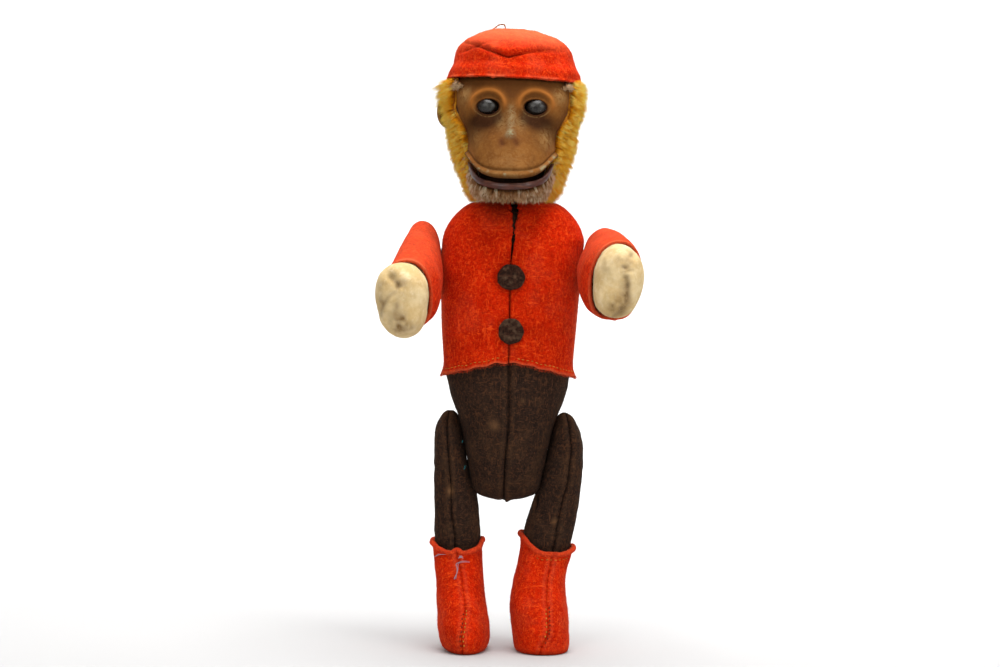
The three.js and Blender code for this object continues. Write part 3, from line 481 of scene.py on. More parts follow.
def cream_felt():
    m = Mat("cream_felt", Roughness=0.92, Sheen_Weight=0.12, Sheen_Roughness=0.4, Sheen_Tint=(1, 0.95, 0.85, 1), Specular_IOR_Level=0.12)
    mid = m.noise(380, 4, 0.7, 0.5)
    blotch = m.noise(90, 4, 0.65)
    fib = m.noise(900, 3, 0.7, 1.5, stretch=(1.0, 1.0, 0.3), rot=(0.3, 0.5, 0.2))
    c = m.mix(m.ramp(blotch, 0.38, 0.66), lin(206, 176, 122), lin(232, 208, 160))
    c = m.mix(m.math("MULTIPLY", m.ramp(mid, 0.5, 0.75), 0.5), c, lin(244, 226, 190))
    c = m.mix(m.math("MULTIPLY", m.ramp(fib, 0.6, 0.72), 0.4), c, lin(250, 238, 210))
    # brown stains, with painted shade in the thumb's tuck and where the mitt goes into the cuff; grey spots, with
    # painted shade in the dimples and along the tuck; the darker tuck line is painted shade
    st = m.math("MULTIPLY", m.attr("stain_and_shade"), m.ramp(m.math("ADD", m.math("MULTIPLY", blotch, 0.6), m.math("MULTIPLY", mid, 0.4)), 0.36, 0.6, 0.45, 1.0))
    c = m.mix(st, c, lin(116, 84, 46))
    c = m.mix(m.math("MULTIPLY", m.attr("grey_and_shade"), 0.8), c, lin(104, 86, 62))
    c = m.mix(m.attr("shade_and_grime"), c, lin(88, 58, 34))
    m.color(c)
    m.bumps((mid, 0.3, 0.5), (fib, 0.15, 0.5))
    return m.m


CREAM_FELT = cream_felt()


def mask_material(name="mask_felt"):
    """Pressed felt, sprayed and rubbed: the colour layers come from the surface's own numbers. Some are painted light:
    painted shade under the cap, in the eye sockets, under the eyes over the sprayed darkening, in the lip's crease and
    at the mask's edges, and a painted highlight on the nose tip.
    """
    m = Mat(name, Roughness=0.85, Sheen_Weight=0.0, Sheen_Roughness=0.5, Sheen_Tint=(1, 0.85, 0.65, 1), Specular_IOR_Level=0.05)
    blotch = m.noise(120, 4, 0.7, 0.4)
    fine = m.noise(900, 4, 0.8)
    scuff = m.noise(330, 5, 0.8, 1.2)
    c = m.mix(m.ramp(blotch, 0.35, 0.65), lin(104, 62, 24), lin(124, 78, 33))
    c = m.mix(m.math("MULTIPLY", m.ramp(fine, 0.45, 0.75), 0.35), c, lin(150, 108, 58))
    c = m.mix(m.math("MULTIPLY", m.ramp(scuff, 0.5, 0.3), 0.25), c, lin(86, 50, 20))
    c = m.mix(m.math("MULTIPLY", m.attr("brow_shade"), 0.85), c, lin(84, 48, 20))
    c = m.mix(m.math("MULTIPLY", m.attr("orange"), 0.8), c, lin(158, 96, 40))
    c = m.mix(m.math("MULTIPLY", m.attr("painted_shade"), m.ramp(scuff, 0.2, 0.6, 0.85, 1.0)), c, lin(44, 21, 7))
    c = m.mix(m.math("MULTIPLY", m.attr("pale"), m.ramp(scuff, 0.36, 0.58)), c, lin(166, 132, 84))
    c = m.mix(m.math("MULTIPLY", m.attr("worn_and_highlight"), m.ramp(scuff, 0.36, 0.56)), c, lin(138, 132, 102))
    c = m.mix(m.math("MULTIPLY", m.attr("nostril"), m.ramp(scuff, 0.3, 0.55, 0.35, 1.0)), c, lin(80, 42, 22))
    c = m.mix(m.attr("shade_and_grime"), c, lin(44, 24, 13))
    m.color(c)
    m.rough(m.ramp(scuff, 0.3, 0.7, 0.7, 0.9))
    m.bumps((scuff, 0.25, 0.45), (fine, 0.12, 0.5))
    return m.m


MASK = mask_material()


def hair(name, root, mid, tip, rough=0.55, var=0.5, alt=None):
    m = Mat(name, Roughness=rough, Sheen_Weight=0.03, Sheen_Roughness=0.4, Specular_IOR_Level=0.15)
    al, ti = m.attr("along"), m.attr("tint")
    c = m.mix(m.ramp(al, 0.0, 0.45), root, mid)
    c = m.mix(m.ramp(al, 0.45, 1.0), c, tip)
    if alt:
        c = m.mix(m.ramp(ti, 0.62, 0.72), c, alt)
    c = m.mix(m.math("MULTIPLY", m.ramp(ti, 0.0, 0.6, 1.0, 0.0), var), c, tuple(x * 0.55 for x in root))
    m.color(c)
    return m.m


GOLD_HAIR = hair("gold_mohair", lin(204, 112, 2), lin(255, 176, 8), lin(255, 226, 88), alt=lin(255, 226, 110), var=0.26)
WHITE_HAIR = hair("white_mohair", lin(116, 70, 34), lin(166, 114, 66), lin(226, 190, 144), alt=lin(240, 220, 186), var=0.45)
TEMPLE_HAIR = hair("temple_mohair", lin(150, 104, 60), lin(220, 176, 128), lin(246, 224, 186), var=0.2)
RED_FUZZ = hair("red_fuzz", lin(196, 44, 10), lin(226, 72, 26), lin(246, 130, 80), rough=0.85, var=0.3)
DARK_FUZZ = hair("dark_fuzz", lin(42, 31, 25), lin(62, 45, 34), lin(104, 76, 54), rough=0.85, var=0.3)
CREAM_FUZZ = hair("cream_fuzz", lin(200, 172, 122), lin(220, 194, 146), lin(242, 224, 184), rough=0.85, var=0.2)
LINT = hair("lint", lin(132, 118, 130), lin(150, 136, 150), lin(176, 166, 176), rough=0.8, var=0.1)
TEAL = hair("teal_fibre", lin(20, 84, 90), lin(26, 104, 110), lin(60, 130, 132), rough=0.8, var=0.1)


def backing(name, a, b):
    m = Mat(name, Roughness=0.9, Sheen_Weight=0.2, Sheen_Roughness=0.5, Specular_IOR_Level=0.1)
    f = m.noise(500, 4, 0.7)
    m.color(m.mix(m.ramp(f, 0.35, 0.7), a, b))
    m.bumps((f, 0.5, 0.7), (m.noise(1400, 2, 0.6), 0.2, 0.5))
    return m.m


GOLD_BACK = backing("mohair_backing", lin(150, 88, 8), lin(204, 138, 18))
WHITE_BACK = backing("chin_backing", lin(78, 48, 26), lin(120, 84, 52))


def leather():
    m = Mat("lip_leather", Roughness=0.42, Specular_IOR_Level=0.4, Coat_Weight=0.15, Coat_Roughness=0.25)
    n1 = m.noise(260, 4, 0.6)
    n2 = m.noise(1600, 3, 0.6)
    line = m.noise(500, 3, 0.6, stretch=(0.12, 0.12, 1.6))
    c = m.mix(m.ramp(n1, 0.35, 0.65), lin(54, 20, 10), lin(78, 33, 16))
    # light lengthwise lines: painted highlight lines along the lip, with bumps to match; the lighter patches: painted
    # highlight on the top face, broken up by rubbing
    c = m.mix(m.math("MULTIPLY", m.ramp(line, 0.55, 0.68), 0.5), c, lin(116, 70, 48))
    c = m.mix(m.attr("wear_and_highlight"), c, lin(128, 84, 60))
    m.color(c)
    m.rough(m.ramp(n1, 0.3, 0.7, 0.3, 0.5))
    m.bumps((line, 0.18, 0.7), (n2, 0.08, 0.4))
    return m.m


LEATHER = leather()


def eye_glass():
    m = Mat("eye_glass", Roughness=0.32, Specular_IOR_Level=0.3, Coat_Weight=0.1, Coat_Roughness=0.25)
    n = m.noise(420, 3, 0.6)
    c = m.mix(m.ramp(n, 0.3, 0.75), lin(26, 23, 21), lin(58, 56, 52))
    c = m.mix(m.attr("rim"), c, lin(26, 14, 8))
    m.color(c)
    m.rough(m.ramp(n, 0.3, 0.7, 0.22, 0.45))
    m.bumps((n, 0.05, 0.15))
    return m.m


EYE = eye_glass()


def metal(name, base, dark, rough=0.35, metallic=1.0):
    m = Mat(name, Roughness=rough, Metallic=metallic)
    n1 = m.noise(160, 4, 0.65)
    n2 = m.noise(900, 3, 0.6, stretch=(1, 0.1, 1))
    m.color(m.mix(m.ramp(n1, 0.35, 0.7), dark, base))
    m.rough(m.ramp(n2, 0.3, 0.7, rough * 0.75, rough * 1.35))
    m.bumps((n2, 0.04, 0.4), (n1, 0.08, 0.2))
    return m.m


BRASS = metal("aged_brass", lin(196, 160, 86), lin(138, 104, 52), 0.34)
STEEL = metal("drawn_steel", lin(176, 178, 182), lin(128, 128, 132), 0.3)
TIN = metal("tinplate", lin(170, 172, 174), lin(122, 122, 122), 0.38, 0.9)
COPPER = metal("copper_wire", lin(168, 108, 58), lin(112, 66, 34), 0.45, 0.7)


def board(name, a, b):
    m = Mat(name, Roughness=0.88, Specular_IOR_Level=0.2)
    n1 = m.noise(300, 5, 0.7)
    n2 = m.noise(1200, 3, 0.7, stretch=(1, 1, 0.2))
    m.color(m.mix(m.ramp(n1, 0.35, 0.68), a, b))
    m.bumps((n1, 0.3, 0.4), (n2, 0.12, 0.5))
    return m.m


CARD = board("press_board", lin(132, 104, 66), lin(170, 140, 96))
PULP = board("paper_pulp", lin(46, 27, 17), lin(70, 42, 26))
WOOL = board("wood_wool", lin(170, 138, 82), lin(206, 176, 118))
THREAD = board("stitch_thread", lin(150, 92, 26), lin(206, 142, 56))
DARK_THREAD = board("dark_thread", lin(60, 20, 10), lin(110, 44, 18))

cad_look = {
    "motor_case": TIN, "motor_case_base": TIN, "movement_front_plate": BRASS, "movement_back_plate": BRASS, "winding_arbor": STEEL, "great_wheel": BRASS, "click": STEEL,
    "click_screw": STEEL, "mainspring": STEEL, "second_wheel": BRASS, "crank_wheel": BRASS, "governor_fly": BRASS, "rocker_beam": STEEL, "rocker_screw": STEEL, "winding_key": BRASS,
    "wood_wool_stuffing": WOOL, "head_core": PULP, "jaw_core": PULP, "jaw_pin": STEEL, "neck_disc_upper": CARD, "neck_disc_lower": CARD, "neck_pin": STEEL,
}
for side in ("left", "right"):
    cad_look.update({side + "_arm_disc": CARD, side + "_arm_shaft": STEEL, side + "_shoulder_bush": BRASS, side + "_hip_disc_outer": CARD, side + "_hip_disc_inner": CARD, side + "_hip_pin": STEEL})
for node, m in cad_look.items():
    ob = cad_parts[node]
    ob.data.materials.clear()
    ob.data.materials.append(m)


def fuzz(name, G, n, mat, body, length=(0.7, 1.6), r=0.045, wrap=True, weight=None, seed=0, lay=(0, 0, -0.4), slot=None, spread=0.9):
    """Short loose fibres standing off a felt surface."""
    rng = np.random.default_rng(seed + 5)
    p, nn, _ = scatter(G, n, wrap, weight, seed)
    d = nn + rng.normal(size=(n, 3)) * spread + np.asarray(lay)
    dn = (d * nn).sum(1, keepdims=True)
    d = d + nn * np.maximum(0.25 - dn, 0)
    strands(name, p - nn * 0.15, d, rng.uniform(*length, n), r, mat, body, seg=1, seed=seed, slot=slot)


# ------------------------------------------------------------------ trousers' body
body_row = curve([
    [70.2, 1.5, 1.5], [70.6, 4.4, 5], [71.2, 7.4, 8], [72.1, 10.0, 10.6], [73.4, 13.2, 13], [75, 15.2, 15], [78, 16.9, 17.4], [84, 18.0, 20.2], [92, 19.4, 22.4], [99, 20.5, 23.7], [106, 21.9, 24.5],
    [112, 23.8, 25], [118, 26.2, 25.4], [124, 28.1, 25.6], [132, 29.8, 25.8], [140, 30.3, 25.8], [150, 30.6, 25.5], [162, 31, 25], [176, 32, 24.4], [188, 32.6, 23.4], [196, 32.2, 22.4], [202, 30.0, 21.2], [207, 26.0, 19.5], [211, 20.5, 17.2], [213.6, 12.6, 12.5]])


def seam_dist(P, ax=0):
    return np.abs(P[..., ax])


def trousers():
    cols, zs = 256, np.concatenate([[70.2, 70.35, 70.6, 71.0, 71.6, 72.4, 73.4], np.linspace(74.6, 213.6, 150)])
    phi = np.linspace(0, 2 * PI, cols, endpoint=False)
    phi = phi - 0.55 * np.sin(2 * (phi - PI / 2)) * 0.35          # more columns near the centre seams
    G = np.zeros((len(zs), cols, 3))
    for i, z in enumerate(zs):
        w, d = body_row(z)
        x, y = oval(phi, w, d, 2.4)
        G[i] = np.stack([x, y, np.full(cols, z)], -1)
    N = normals(G)
    G[..., 0] += 1.1 * step(182, 200, G[..., 2])
    seam = G[..., 0] - 1.1 * step(182, 200, G[..., 2]) - (0.35 + 0.5 * noise(G * [0, 0, 1], 26, 3) - 1.6 * step(110, 90, G[..., 2]) * 0.6)
    low = step(206, 190, G[..., 2])
    groove = np.exp(-((seam / 0.75) ** 2)) * -1.25 + np.exp(-((np.abs(seam) / 2.6 - 1) ** 2) * 3) * 0.35
    puck = 0.35 * np.exp(-((seam / 3.2) ** 2)) * np.sin(G[..., 2] / 2.1 * 2 * PI / 2.0)
    lump = fbm(G, 17, 3, 11) * 0.75 + fbm(G, 4.5, 2, 5) * 0.16
    tuck = -0.7 * bump(G[..., 2], 93.5 + 3 * np.sin(G[..., 0] / 9), 2.0) * step(2, 9, np.abs(G[..., 0])) * 0.5
    G = G + N * ((groove + puck * 0.3) * low * step(-2, 2, np.abs(G[..., 1])) + lump * 0.8 + tuck)[..., None]
    G[..., 2] -= 1.3 * np.exp(-((G[..., 0] / 1.6) ** 2)) * step(76, 71, G[..., 2])
    # painted shade in the seam's groove, and painted highlight on the ridges either side of it; the patches are rubbed
    # felt
    shade_and_grime = np.exp(-((seam / 0.45) ** 2)) * 0.95 * low
    wear_and_highlight = 0.05 * step(0.15, 0.7, fbm(G, 8, 3, 2)) * step(150, 110, G[..., 2]) + 0.05 * np.exp(-((np.abs(seam) - 2.2) / 0.8) ** 2)
    # a few rubbed, mossy patches
    for c, r, k in (([-6, -24, 108], 2.4, 0.35), ([12, -24, 96], 1.6, 0.2), ([-15, -20, 86], 1.8, 0.25), ([7, -25, 120], 1.3, 0.2)):
        wear_and_highlight = wear_and_highlight + k * np.exp(-(((G - c) ** 2).sum(-1)) / r**2)
    G[..., 2] += 1.5 * step(88, 70, G[..., 2]) * np.exp(-((G[..., 0] / 9) ** 2))
    loft("trouser_body", G, DARK_FELT, "torso", attrs={"shade_and_grime": np.clip(shade_and_grime, 0, 1), "wear_and_highlight": np.clip(wear_and_highlight, 0, 0.6)}, stands_for=["body_skin_left", "body_skin_right"], slot="dark_felt")
    w = (G[..., 2] < 142).astype(float)
    fuzz("trouser_fuzz", G, 9000, DARK_FUZZ, "torso", weight=w, seed=1, slot="dark_felt", length=(0.5, 1.2), r=0.04)


trousers()

# ------------------------------------------------------------------ jacket
jack_row = curve([[130, 32.3, 27.2], [132.5, 31.8, 27.1], [137, 31.6, 27.1], [143, 31.9, 27.3], [150, 32.4, 27.3], [162, 32.8, 26.9], [176, 33.7, 26.2], [188, 34.3, 25.3], [196, 34.3, 24.3], [202, 32.8, 22.9], [207, 29.9, 21.2], [211, 26.2, 19.2], [213.6, 22.8, 16.8], [215.4, 18.6, 14.2], [216.0, 13.4, 12.8]])


def hem_z(x, y):
    front = step(2, -6, y)
    ax = np.abs(x)
    zf = 137.6 - np.clip(ax - 5, 0, 40) * 0.225 + 0.35 * np.sin(x * 0.7) * step(30, 20, ax)
    return front * zf + (1 - front) * 131.2


def slit(z):
    """Half width of the opening between the two fronts."""
    return 0.16 + 1.35 * step(192, 206, z) + 0.35 * step(186, 192, z) + 1.2 * step(207, 216, z) + 0.22 * np.sin(z * 1.9) * step(190, 196, z)


def jacket():
    cols, rows = 340, 120
    t = np.linspace(0, 1, rows)
    a = np.linspace(0, 1, cols)
    a = a + 0.012 * np.sin(2 * PI * a) * -1.0
    G = np.zeros((rows, cols, 3))
    for i, tt in enumerate(t):
        # rings bend down to the hem's line at the bottom and lie level higher up
        z0 = 131.2 + (216.0 - 131.2) * tt
        k = (1 - tt) ** 1.5
        for _ in range(1):
            phi = -PI / 2 + a * 2 * PI
            w, d = jack_row(z0)
            x, y = oval(phi, w, d, 2.4)
            z = z0 + (hem_z(x, y) - 131.2) * k
            r = jack_row(z)
            x, y = oval(phi, r[..., 0], r[..., 1], 2.4)
            # open the front: squeeze columns away from the centre line
            s = slit(z)
            front = step(-4, -14, y)
            x = np.where(front > 0, np.sign(np.where(a < 0.5, 1, -1)) * np.maximum(np.abs(x), s * 1.0), x)
            G[i] = np.stack([x, y, z], -1)
    N = normals(G, False)
    P = G.copy()
    lump = fbm(P, 24, 2, 31) * 0.5 + fbm(P, 6, 2, 8) * 0.12
    right = (np.arange(cols) < cols // 2)[None, :] * 1.0            # the figure's own left front lies over the other
    over = right * 0.3 * step(9, 1, np.abs(P[..., 0])) * step(-5, -15, P[..., 1])
    edge = 0.55 * step(3.2, 0.3, np.abs(P[..., 0])) * step(-5, -15, P[..., 1]) * step(196, 210, P[..., 2])
    side = -0.45 * np.exp(-(((P[..., 1] - 1.5) / 0.7) ** 2)) * step(20, 26, np.abs(P[..., 0])) * step(200, 190, P[..., 2])
    back = -0.5 * np.exp(-((P[..., 0] / 0.7) ** 2)) * (P[..., 1] > 5)
    flare = 0.9 * step(136, 131, P[..., 2]) * step(22, 31, np.abs(P[..., 0]))
    press = sum(-0.5 * np.exp(-(((P[..., 0] - cx) ** 2 + (P[..., 2] - cz) ** 2) / 95.0)) * (P[..., 1] < 0) for cx, cz in ((0.3, 178.4), (0.75, 152.8)))
    G = P + N * (lump + over + edge + side + back + flare + press)[..., None]
    G[0, :, 2] += 0.18 * noise(G[0] * [1, 1, 0], 1.3, 4)
    # painted shade along the side and back seams, in a ring round each button and in the slit between the fronts;
    # painted light on the top edge at the neck and a painted highlight down either side; the hem's edge and the patches
    # lighter
    seam = np.exp(-((P[..., 1] - 1.5) / 0.4) ** 2) * step(20, 26, np.abs(P[..., 0])) * step(200, 190, P[..., 2]) + np.exp(-((P[..., 0] / 0.4) ** 2)) * (P[..., 1] > 5)
    around = sum(np.exp(-(((P[..., 0] - cx) ** 2 + (P[..., 2] - cz + 1.5) ** 2) / 62.0) ** 2) for cx, cz in ((0.3, 178.4), (0.75, 152.8))) * (P[..., 1] < 0)
    centre = np.exp(-((P[..., 0] / 0.5) ** 2)) * (P[..., 1] < -5) * 0.75
    shade_and_grime = 0.5 * seam + 0.12 * around + centre * 0.8
    wear_and_highlight = 0.03 * step(0.2, 0.9, fbm(P, 12, 3, 77)) + 0.3 * step(213, 217, P[..., 2]) + 0.22 * step(1.6, 0.0, P[..., 2] - P[0][None, :, 2])
    wear_and_highlight = wear_and_highlight + 0.22 * np.exp(-((np.abs(P[..., 0]) - 33) / 1.6) ** 2) * step(200, 150, P[..., 2])
    G[..., 0] += 1.15 * step(182, 200, P[..., 2])
    v = G.reshape(-1, 3)
    fc = grid_faces(rows, cols, False)
    at = {"shade_and_grime": np.clip(shade_and_grime, 0, 1).ravel(), "wear_and_highlight": np.clip(wear_and_highlight, 0, 1).ravel()}
    half = cols // 2
    col = np.tile(np.arange(cols - 1), rows - 1)
    back_lo, back_hi = int(cols * 0.25), int(cols * 0.75)
    for name, sel, nodes in (("jacket_left_panel", col < back_lo, ["jacket_left_front"]), ("jacket_back_panel", (col >= back_lo) & (col < back_hi), ["jacket_back"]), ("jacket_right_panel", col >= back_hi, ["jacket_right_front"])):
        f = fc[sel]
        used, inv = np.unique(f, return_inverse=True)
        mesh(name, v[used], inv.reshape(f.shape), RED_FELT, "torso", attrs={k: x[used] for k, x in at.items()}, stands_for=nodes, slot="red_felt", mods=[SOLID(1.25)])
    fuzz("jacket_fuzz", G, 24000, RED_FUZZ, "torso", wrap=False, seed=2, slot="red_felt", length=(0.5, 1.3), r=0.04)
    # edge fibres along the hem and the throat
    rng = np.random.default_rng(8)
    e = G[1]
    k = rng.integers(0, cols, 1500)
    strands("hem_fuzz", e[k] + rng.normal(size=(1500, 3)) * [0.3, 0.3, 0.2] - [0, 0, 1.0], N[1][k] * 0.5 + rng.normal(size=(1500, 3)) * 0.6 + [0, 0, -0.8], rng.uniform(0.6, 1.5, 1500), 0.045, RED_FUZZ, "torso", slot="red_felt")
    # running stitches a little above the hem on the fronts
    for name, cols_, mat, seed in (("hem_stitch_left", np.arange(4, back_lo), THREAD, 3), ("hem_stitch_right", np.arange(back_hi, cols - 4), THREAD, 4)):
        pts, nn = [], []
        for c in cols_:
            line = G[:, c]
            s = np.concatenate([[0], np.cumsum(np.linalg.norm(np.diff(line, axis=0), axis=1))])
            pts.append([np.interp(2.4, s, line[:, q]) for q in range(3)])
            nn.append(N[4, c])
        thread_run(name, (np.asarray(pts) + np.asarray(nn) * 0.02, np.asarray(nn)), mat, "torso", seed=seed, slot="red_felt", r=0.17)


jacket()


def buttons():
    for name, node, x, z, rx, rz, tilt in (("button_upper", "upper_button", 0.3, 178.4, 6.6, 6.1, 0.05), ("button_lower", "lower_button", 0.75, 152.8, 6.05, 6.05, -0.04)):
        cols = 96
        prof = [(0.0, 1.05), (0.25, 1.08), (0.5, 1.0), (0.72, 0.98), (0.86, 0.98), (0.94, 0.86), (0.985, 0.62), (1.0, 0.3), (1.0, -0.3), (0.985, -0.62), (0.94, -0.8), (0.6, -0.85), (0.0, -0.85)]
        prof = spline([(a, b, 0) for a, b in prof], 46)
        phi = np.linspace(0, 2 * PI, cols, endpoint=False)
        y0 = -(float(jack_row(z)[1]) + 0.62)
        G = np.zeros((len(prof), cols, 3))
        for i, (r, h, _) in enumerate(prof):
            rr = max(r, 0.004)
            wob = 1 + 0.02 * np.sin(3 * phi + z) + 0.014 * np.sin(7 * phi + 1) + 0.012 * noise(np.stack([np.cos(phi) * 6, np.sin(phi) * 6, phi * 0], -1), 1.1, 3)
            G[i] = np.stack([x + rx * rr * wob * np.cos(phi), y0 - h + tilt * rr * 6 * np.sin(phi), z + rz * rr * wob * np.sin(phi)], -1)
        G = G[::-1]
        N = normals(G)
        G = G + N * (fbm(G, 2.6, 3, 9) * 0.16)[..., None]
        wear_and_highlight = 0.35 * np.clip(fbm(G, 2.2, 3, 21), 0, 1)
        loft(name, G, BUTTON_FELT, "torso", attrs={"wear_and_highlight": wear_and_highlight, "shade_and_grime": wear_and_highlight * 0}, stands_for=[node], slot="dark_felt")
        fuzz(name + "_fuzz", G, 1400, DARK_FUZZ, "torso", seed=int(z), length=(0.3, 0.7), r=0.035, slot="dark_felt")


buttons()

# ------------------------------------------------------------------ arms
# inner edge, outer edge, top and bottom of each sleeve by distance along the arm
sleeve_row = {
    1: curve([[-14.2, 41.6, 43.0, 0.6, -0.6], [-13.2, 39.6, 44.6, 3.6, -4.2], [-9.8, 37.2, 46.6, 8.0, -9.2], [-3, 35.8, 48.2, 11.2, -13.6], [5, 35.3, 49.4, 12.4, -15.8], [14, 34.4, 51.0, 13.2, -17.2], [22, 33.4, 52.4, 13.8, -18.6],
              [32, 33.0, 54.2, 14.2, -19.6], [44, 33.6, 56.4, 14.4, -20.2], [52, 35.4, 57.9, 14.3, -20.2], [57, 37.6, 58.7, 14.1, -19.8]]),
    -1: curve([[-14.2, 41.4, 43.2, 1, -1], [-13.2, 39.2, 44.8, 4.4, -4.4], [-9.8, 37.2, 47.0, 9.4, -9.2], [-3, 35.8, 48.4, 12.8, -13.4], [5, 35.2, 49.6, 13.9, -15.2], [14, 34.6, 51.2, 14.2, -16.4], [22, 33.8, 52.4, 14.2, -17.6],
               [32, 33.4, 53.8, 13.8, -18.6], [44, 33.8, 55.6, 12.8, -19.2], [52, 35.6, 57.2, 12.2, -19.2], [57, 37.6, 57.8, 11.8, -18.6]])}


def arm_place(P, s, down):
    """Arm-level millimetres (x out, y back, z up from the shoulder) to the figure's own."""
    P = np.array(P, float)
    P[..., 0] *= s
    c, sn = math.cos(down), math.sin(down)
    y, z = P[..., 1].copy(), P[..., 2].copy()
    P[..., 1] = y * c - z * sn
    P[..., 2] = y * sn + z * c + SHOULDER_Z
    return P


def ell(P, c, r, rot=None):
    Q = P - np.asarray(c, float)
    if rot is not None:
        Q = Q @ np.asarray(rot, float)
    q = Q / np.asarray(r, float)
    k = np.linalg.norm(q, axis=-1)
    return (k - 1) * min(r)


def smin(a, b, k):
    h = np.clip(0.5 + 0.5 * (b - a) / k, 0, 1)
    return b * (1 - h) + a * h - k * h * (1 - h)


def rotx(a):
    c, s = math.cos(a), math.sin(a)
    return np.array([[1, 0, 0], [0, c, -s], [0, s, c]])


def rotm(ax, ay, az):
    return np.array(Matrix.Rotation(az, 3, "Z") @ Matrix.Rotation(ay, 3, "Y") @ Matrix.Rotation(ax, 3, "X"))


def arms():
    for side, s, down in (("left", 1, math.radians(11)), ("right", -1, math.radians(19))):
        body = side + "_arm"
        # sleeve: a shell, closed at the shoulder, rolled at the cuff
        S = np.concatenate([[-14.1, -13.9, -13.5, -12.8, -11.8], np.linspace(-10.4, 57, 90)])
        cols = 150
        phi = np.linspace(0, 2 * PI, cols, endpoint=False)
        G = np.zeros((len(S), cols, 3))
        for i, q in enumerate(S):
            xi, xo, zt, zb = sleeve_row[s](q)
            x, z = oval(phi, (xo - xi) / 2, (zt - zb) / 2, 2.15)
            x2, _ = oval(phi, (xo - xi) / 2, (zt - zb) / 2, 3.4)
            x = np.where(z < 0, x + (x2 - x) * step(0, -6, z), x)
            lip = 0.25 * step(54.5, 57, q)
            k = np.where(z > 0, (0.26 if s > 0 else 0.06) * step(-14, -4, q) * step(80, 30, q), 0.05 * step(10, 57, q))
            zz = (zt + zb) / 2 + z * (1 + lip / 15)
            G[i] = np.stack([(xi + xo) / 2 + x * (1 + lip / 12) + k * z, np.full(cols, -q) + 0.9 * np.cos(2 * phi + 0.6) * step(45, 57, q), zz], -1)
        N = -normals(G)
        P = G.copy()
        q = -P[..., 1]
        mid = (sleeve_row[s](q)[..., 0] + sleeve_row[s](q)[..., 1]) / 2
        lump = fbm(P, 19, 2, 41 + s) * 0.45 + fbm(P, 5, 2, 43) * 0.12
        # under-arm seam and a soft fold where the elbow bends a little
        under = -0.5 * np.exp(-(((P[..., 0] - mid) / 0.8) ** 2)) * (P[..., 2] < 0)
        fold = -0.4 * np.exp(-(((q - 24 - 0.25 * P[..., 2]) / 3.2) ** 2)) * step(4, -8, P[..., 2])
        G = P + N * (lump * step(57, 50, q) + under + fold)[..., None]
        # the top of the sleeve lighter: painted light from above; the cuff's roll lighter; painted shade along the
        # under-arm seam
        wear_and_highlight = 0.03 * step(0.2, 0.9, fbm(P, 11, 3, 5)) + 0.2 * step(54.5, 57, q) + 0.12 * step(0, 12, P[..., 2])
        shade_and_grime = 0.4 * np.exp(-(((P[..., 0] - mid) / 0.45) ** 2)) * (P[..., 2] < 0)
        A = arm_place(G, s, down)
        if s > 0:
            A, wear_and_highlight, shade_and_grime = A[:, ::-1], wear_and_highlight[:, ::-1], shade_and_grime[:, ::-1]
        loft(side + "_sleeve_felt", A, RED_FELT, body, cap=(True, False), attrs={"wear_and_highlight": np.clip(wear_and_highlight, 0, 1), "shade_and_grime": shade_and_grime}, stands_for=[side + "_sleeve"], slot="red_felt", mods=[SOLID(1.3)])
        fuzz(side + "_sleeve_fuzz", A, 8000, RED_FUZZ, body, seed=20 + s, slot="red_felt", length=(0.5, 1.4), r=0.042)
        rng = np.random.default_rng(60 + s)
        k = rng.integers(0, cols, 1300)
        dr = (A[-1] - A[-3])[k]
        dr /= np.linalg.norm(dr, axis=1, keepdims=True)
        nA = normals(A)[-1][k]
        strands(side + "_cuff_fuzz", A[-1][k] - nA * rng.uniform(0, 1.2, (1300, 1)), dr * 0.8 + nA * 0.5 + rng.normal(size=(1300, 3)) * 0.6, rng.uniform(0.5, 1.3, 1300), 0.045, RED_FUZZ, body, slot="red_felt")
        hand(side, s, down, body)


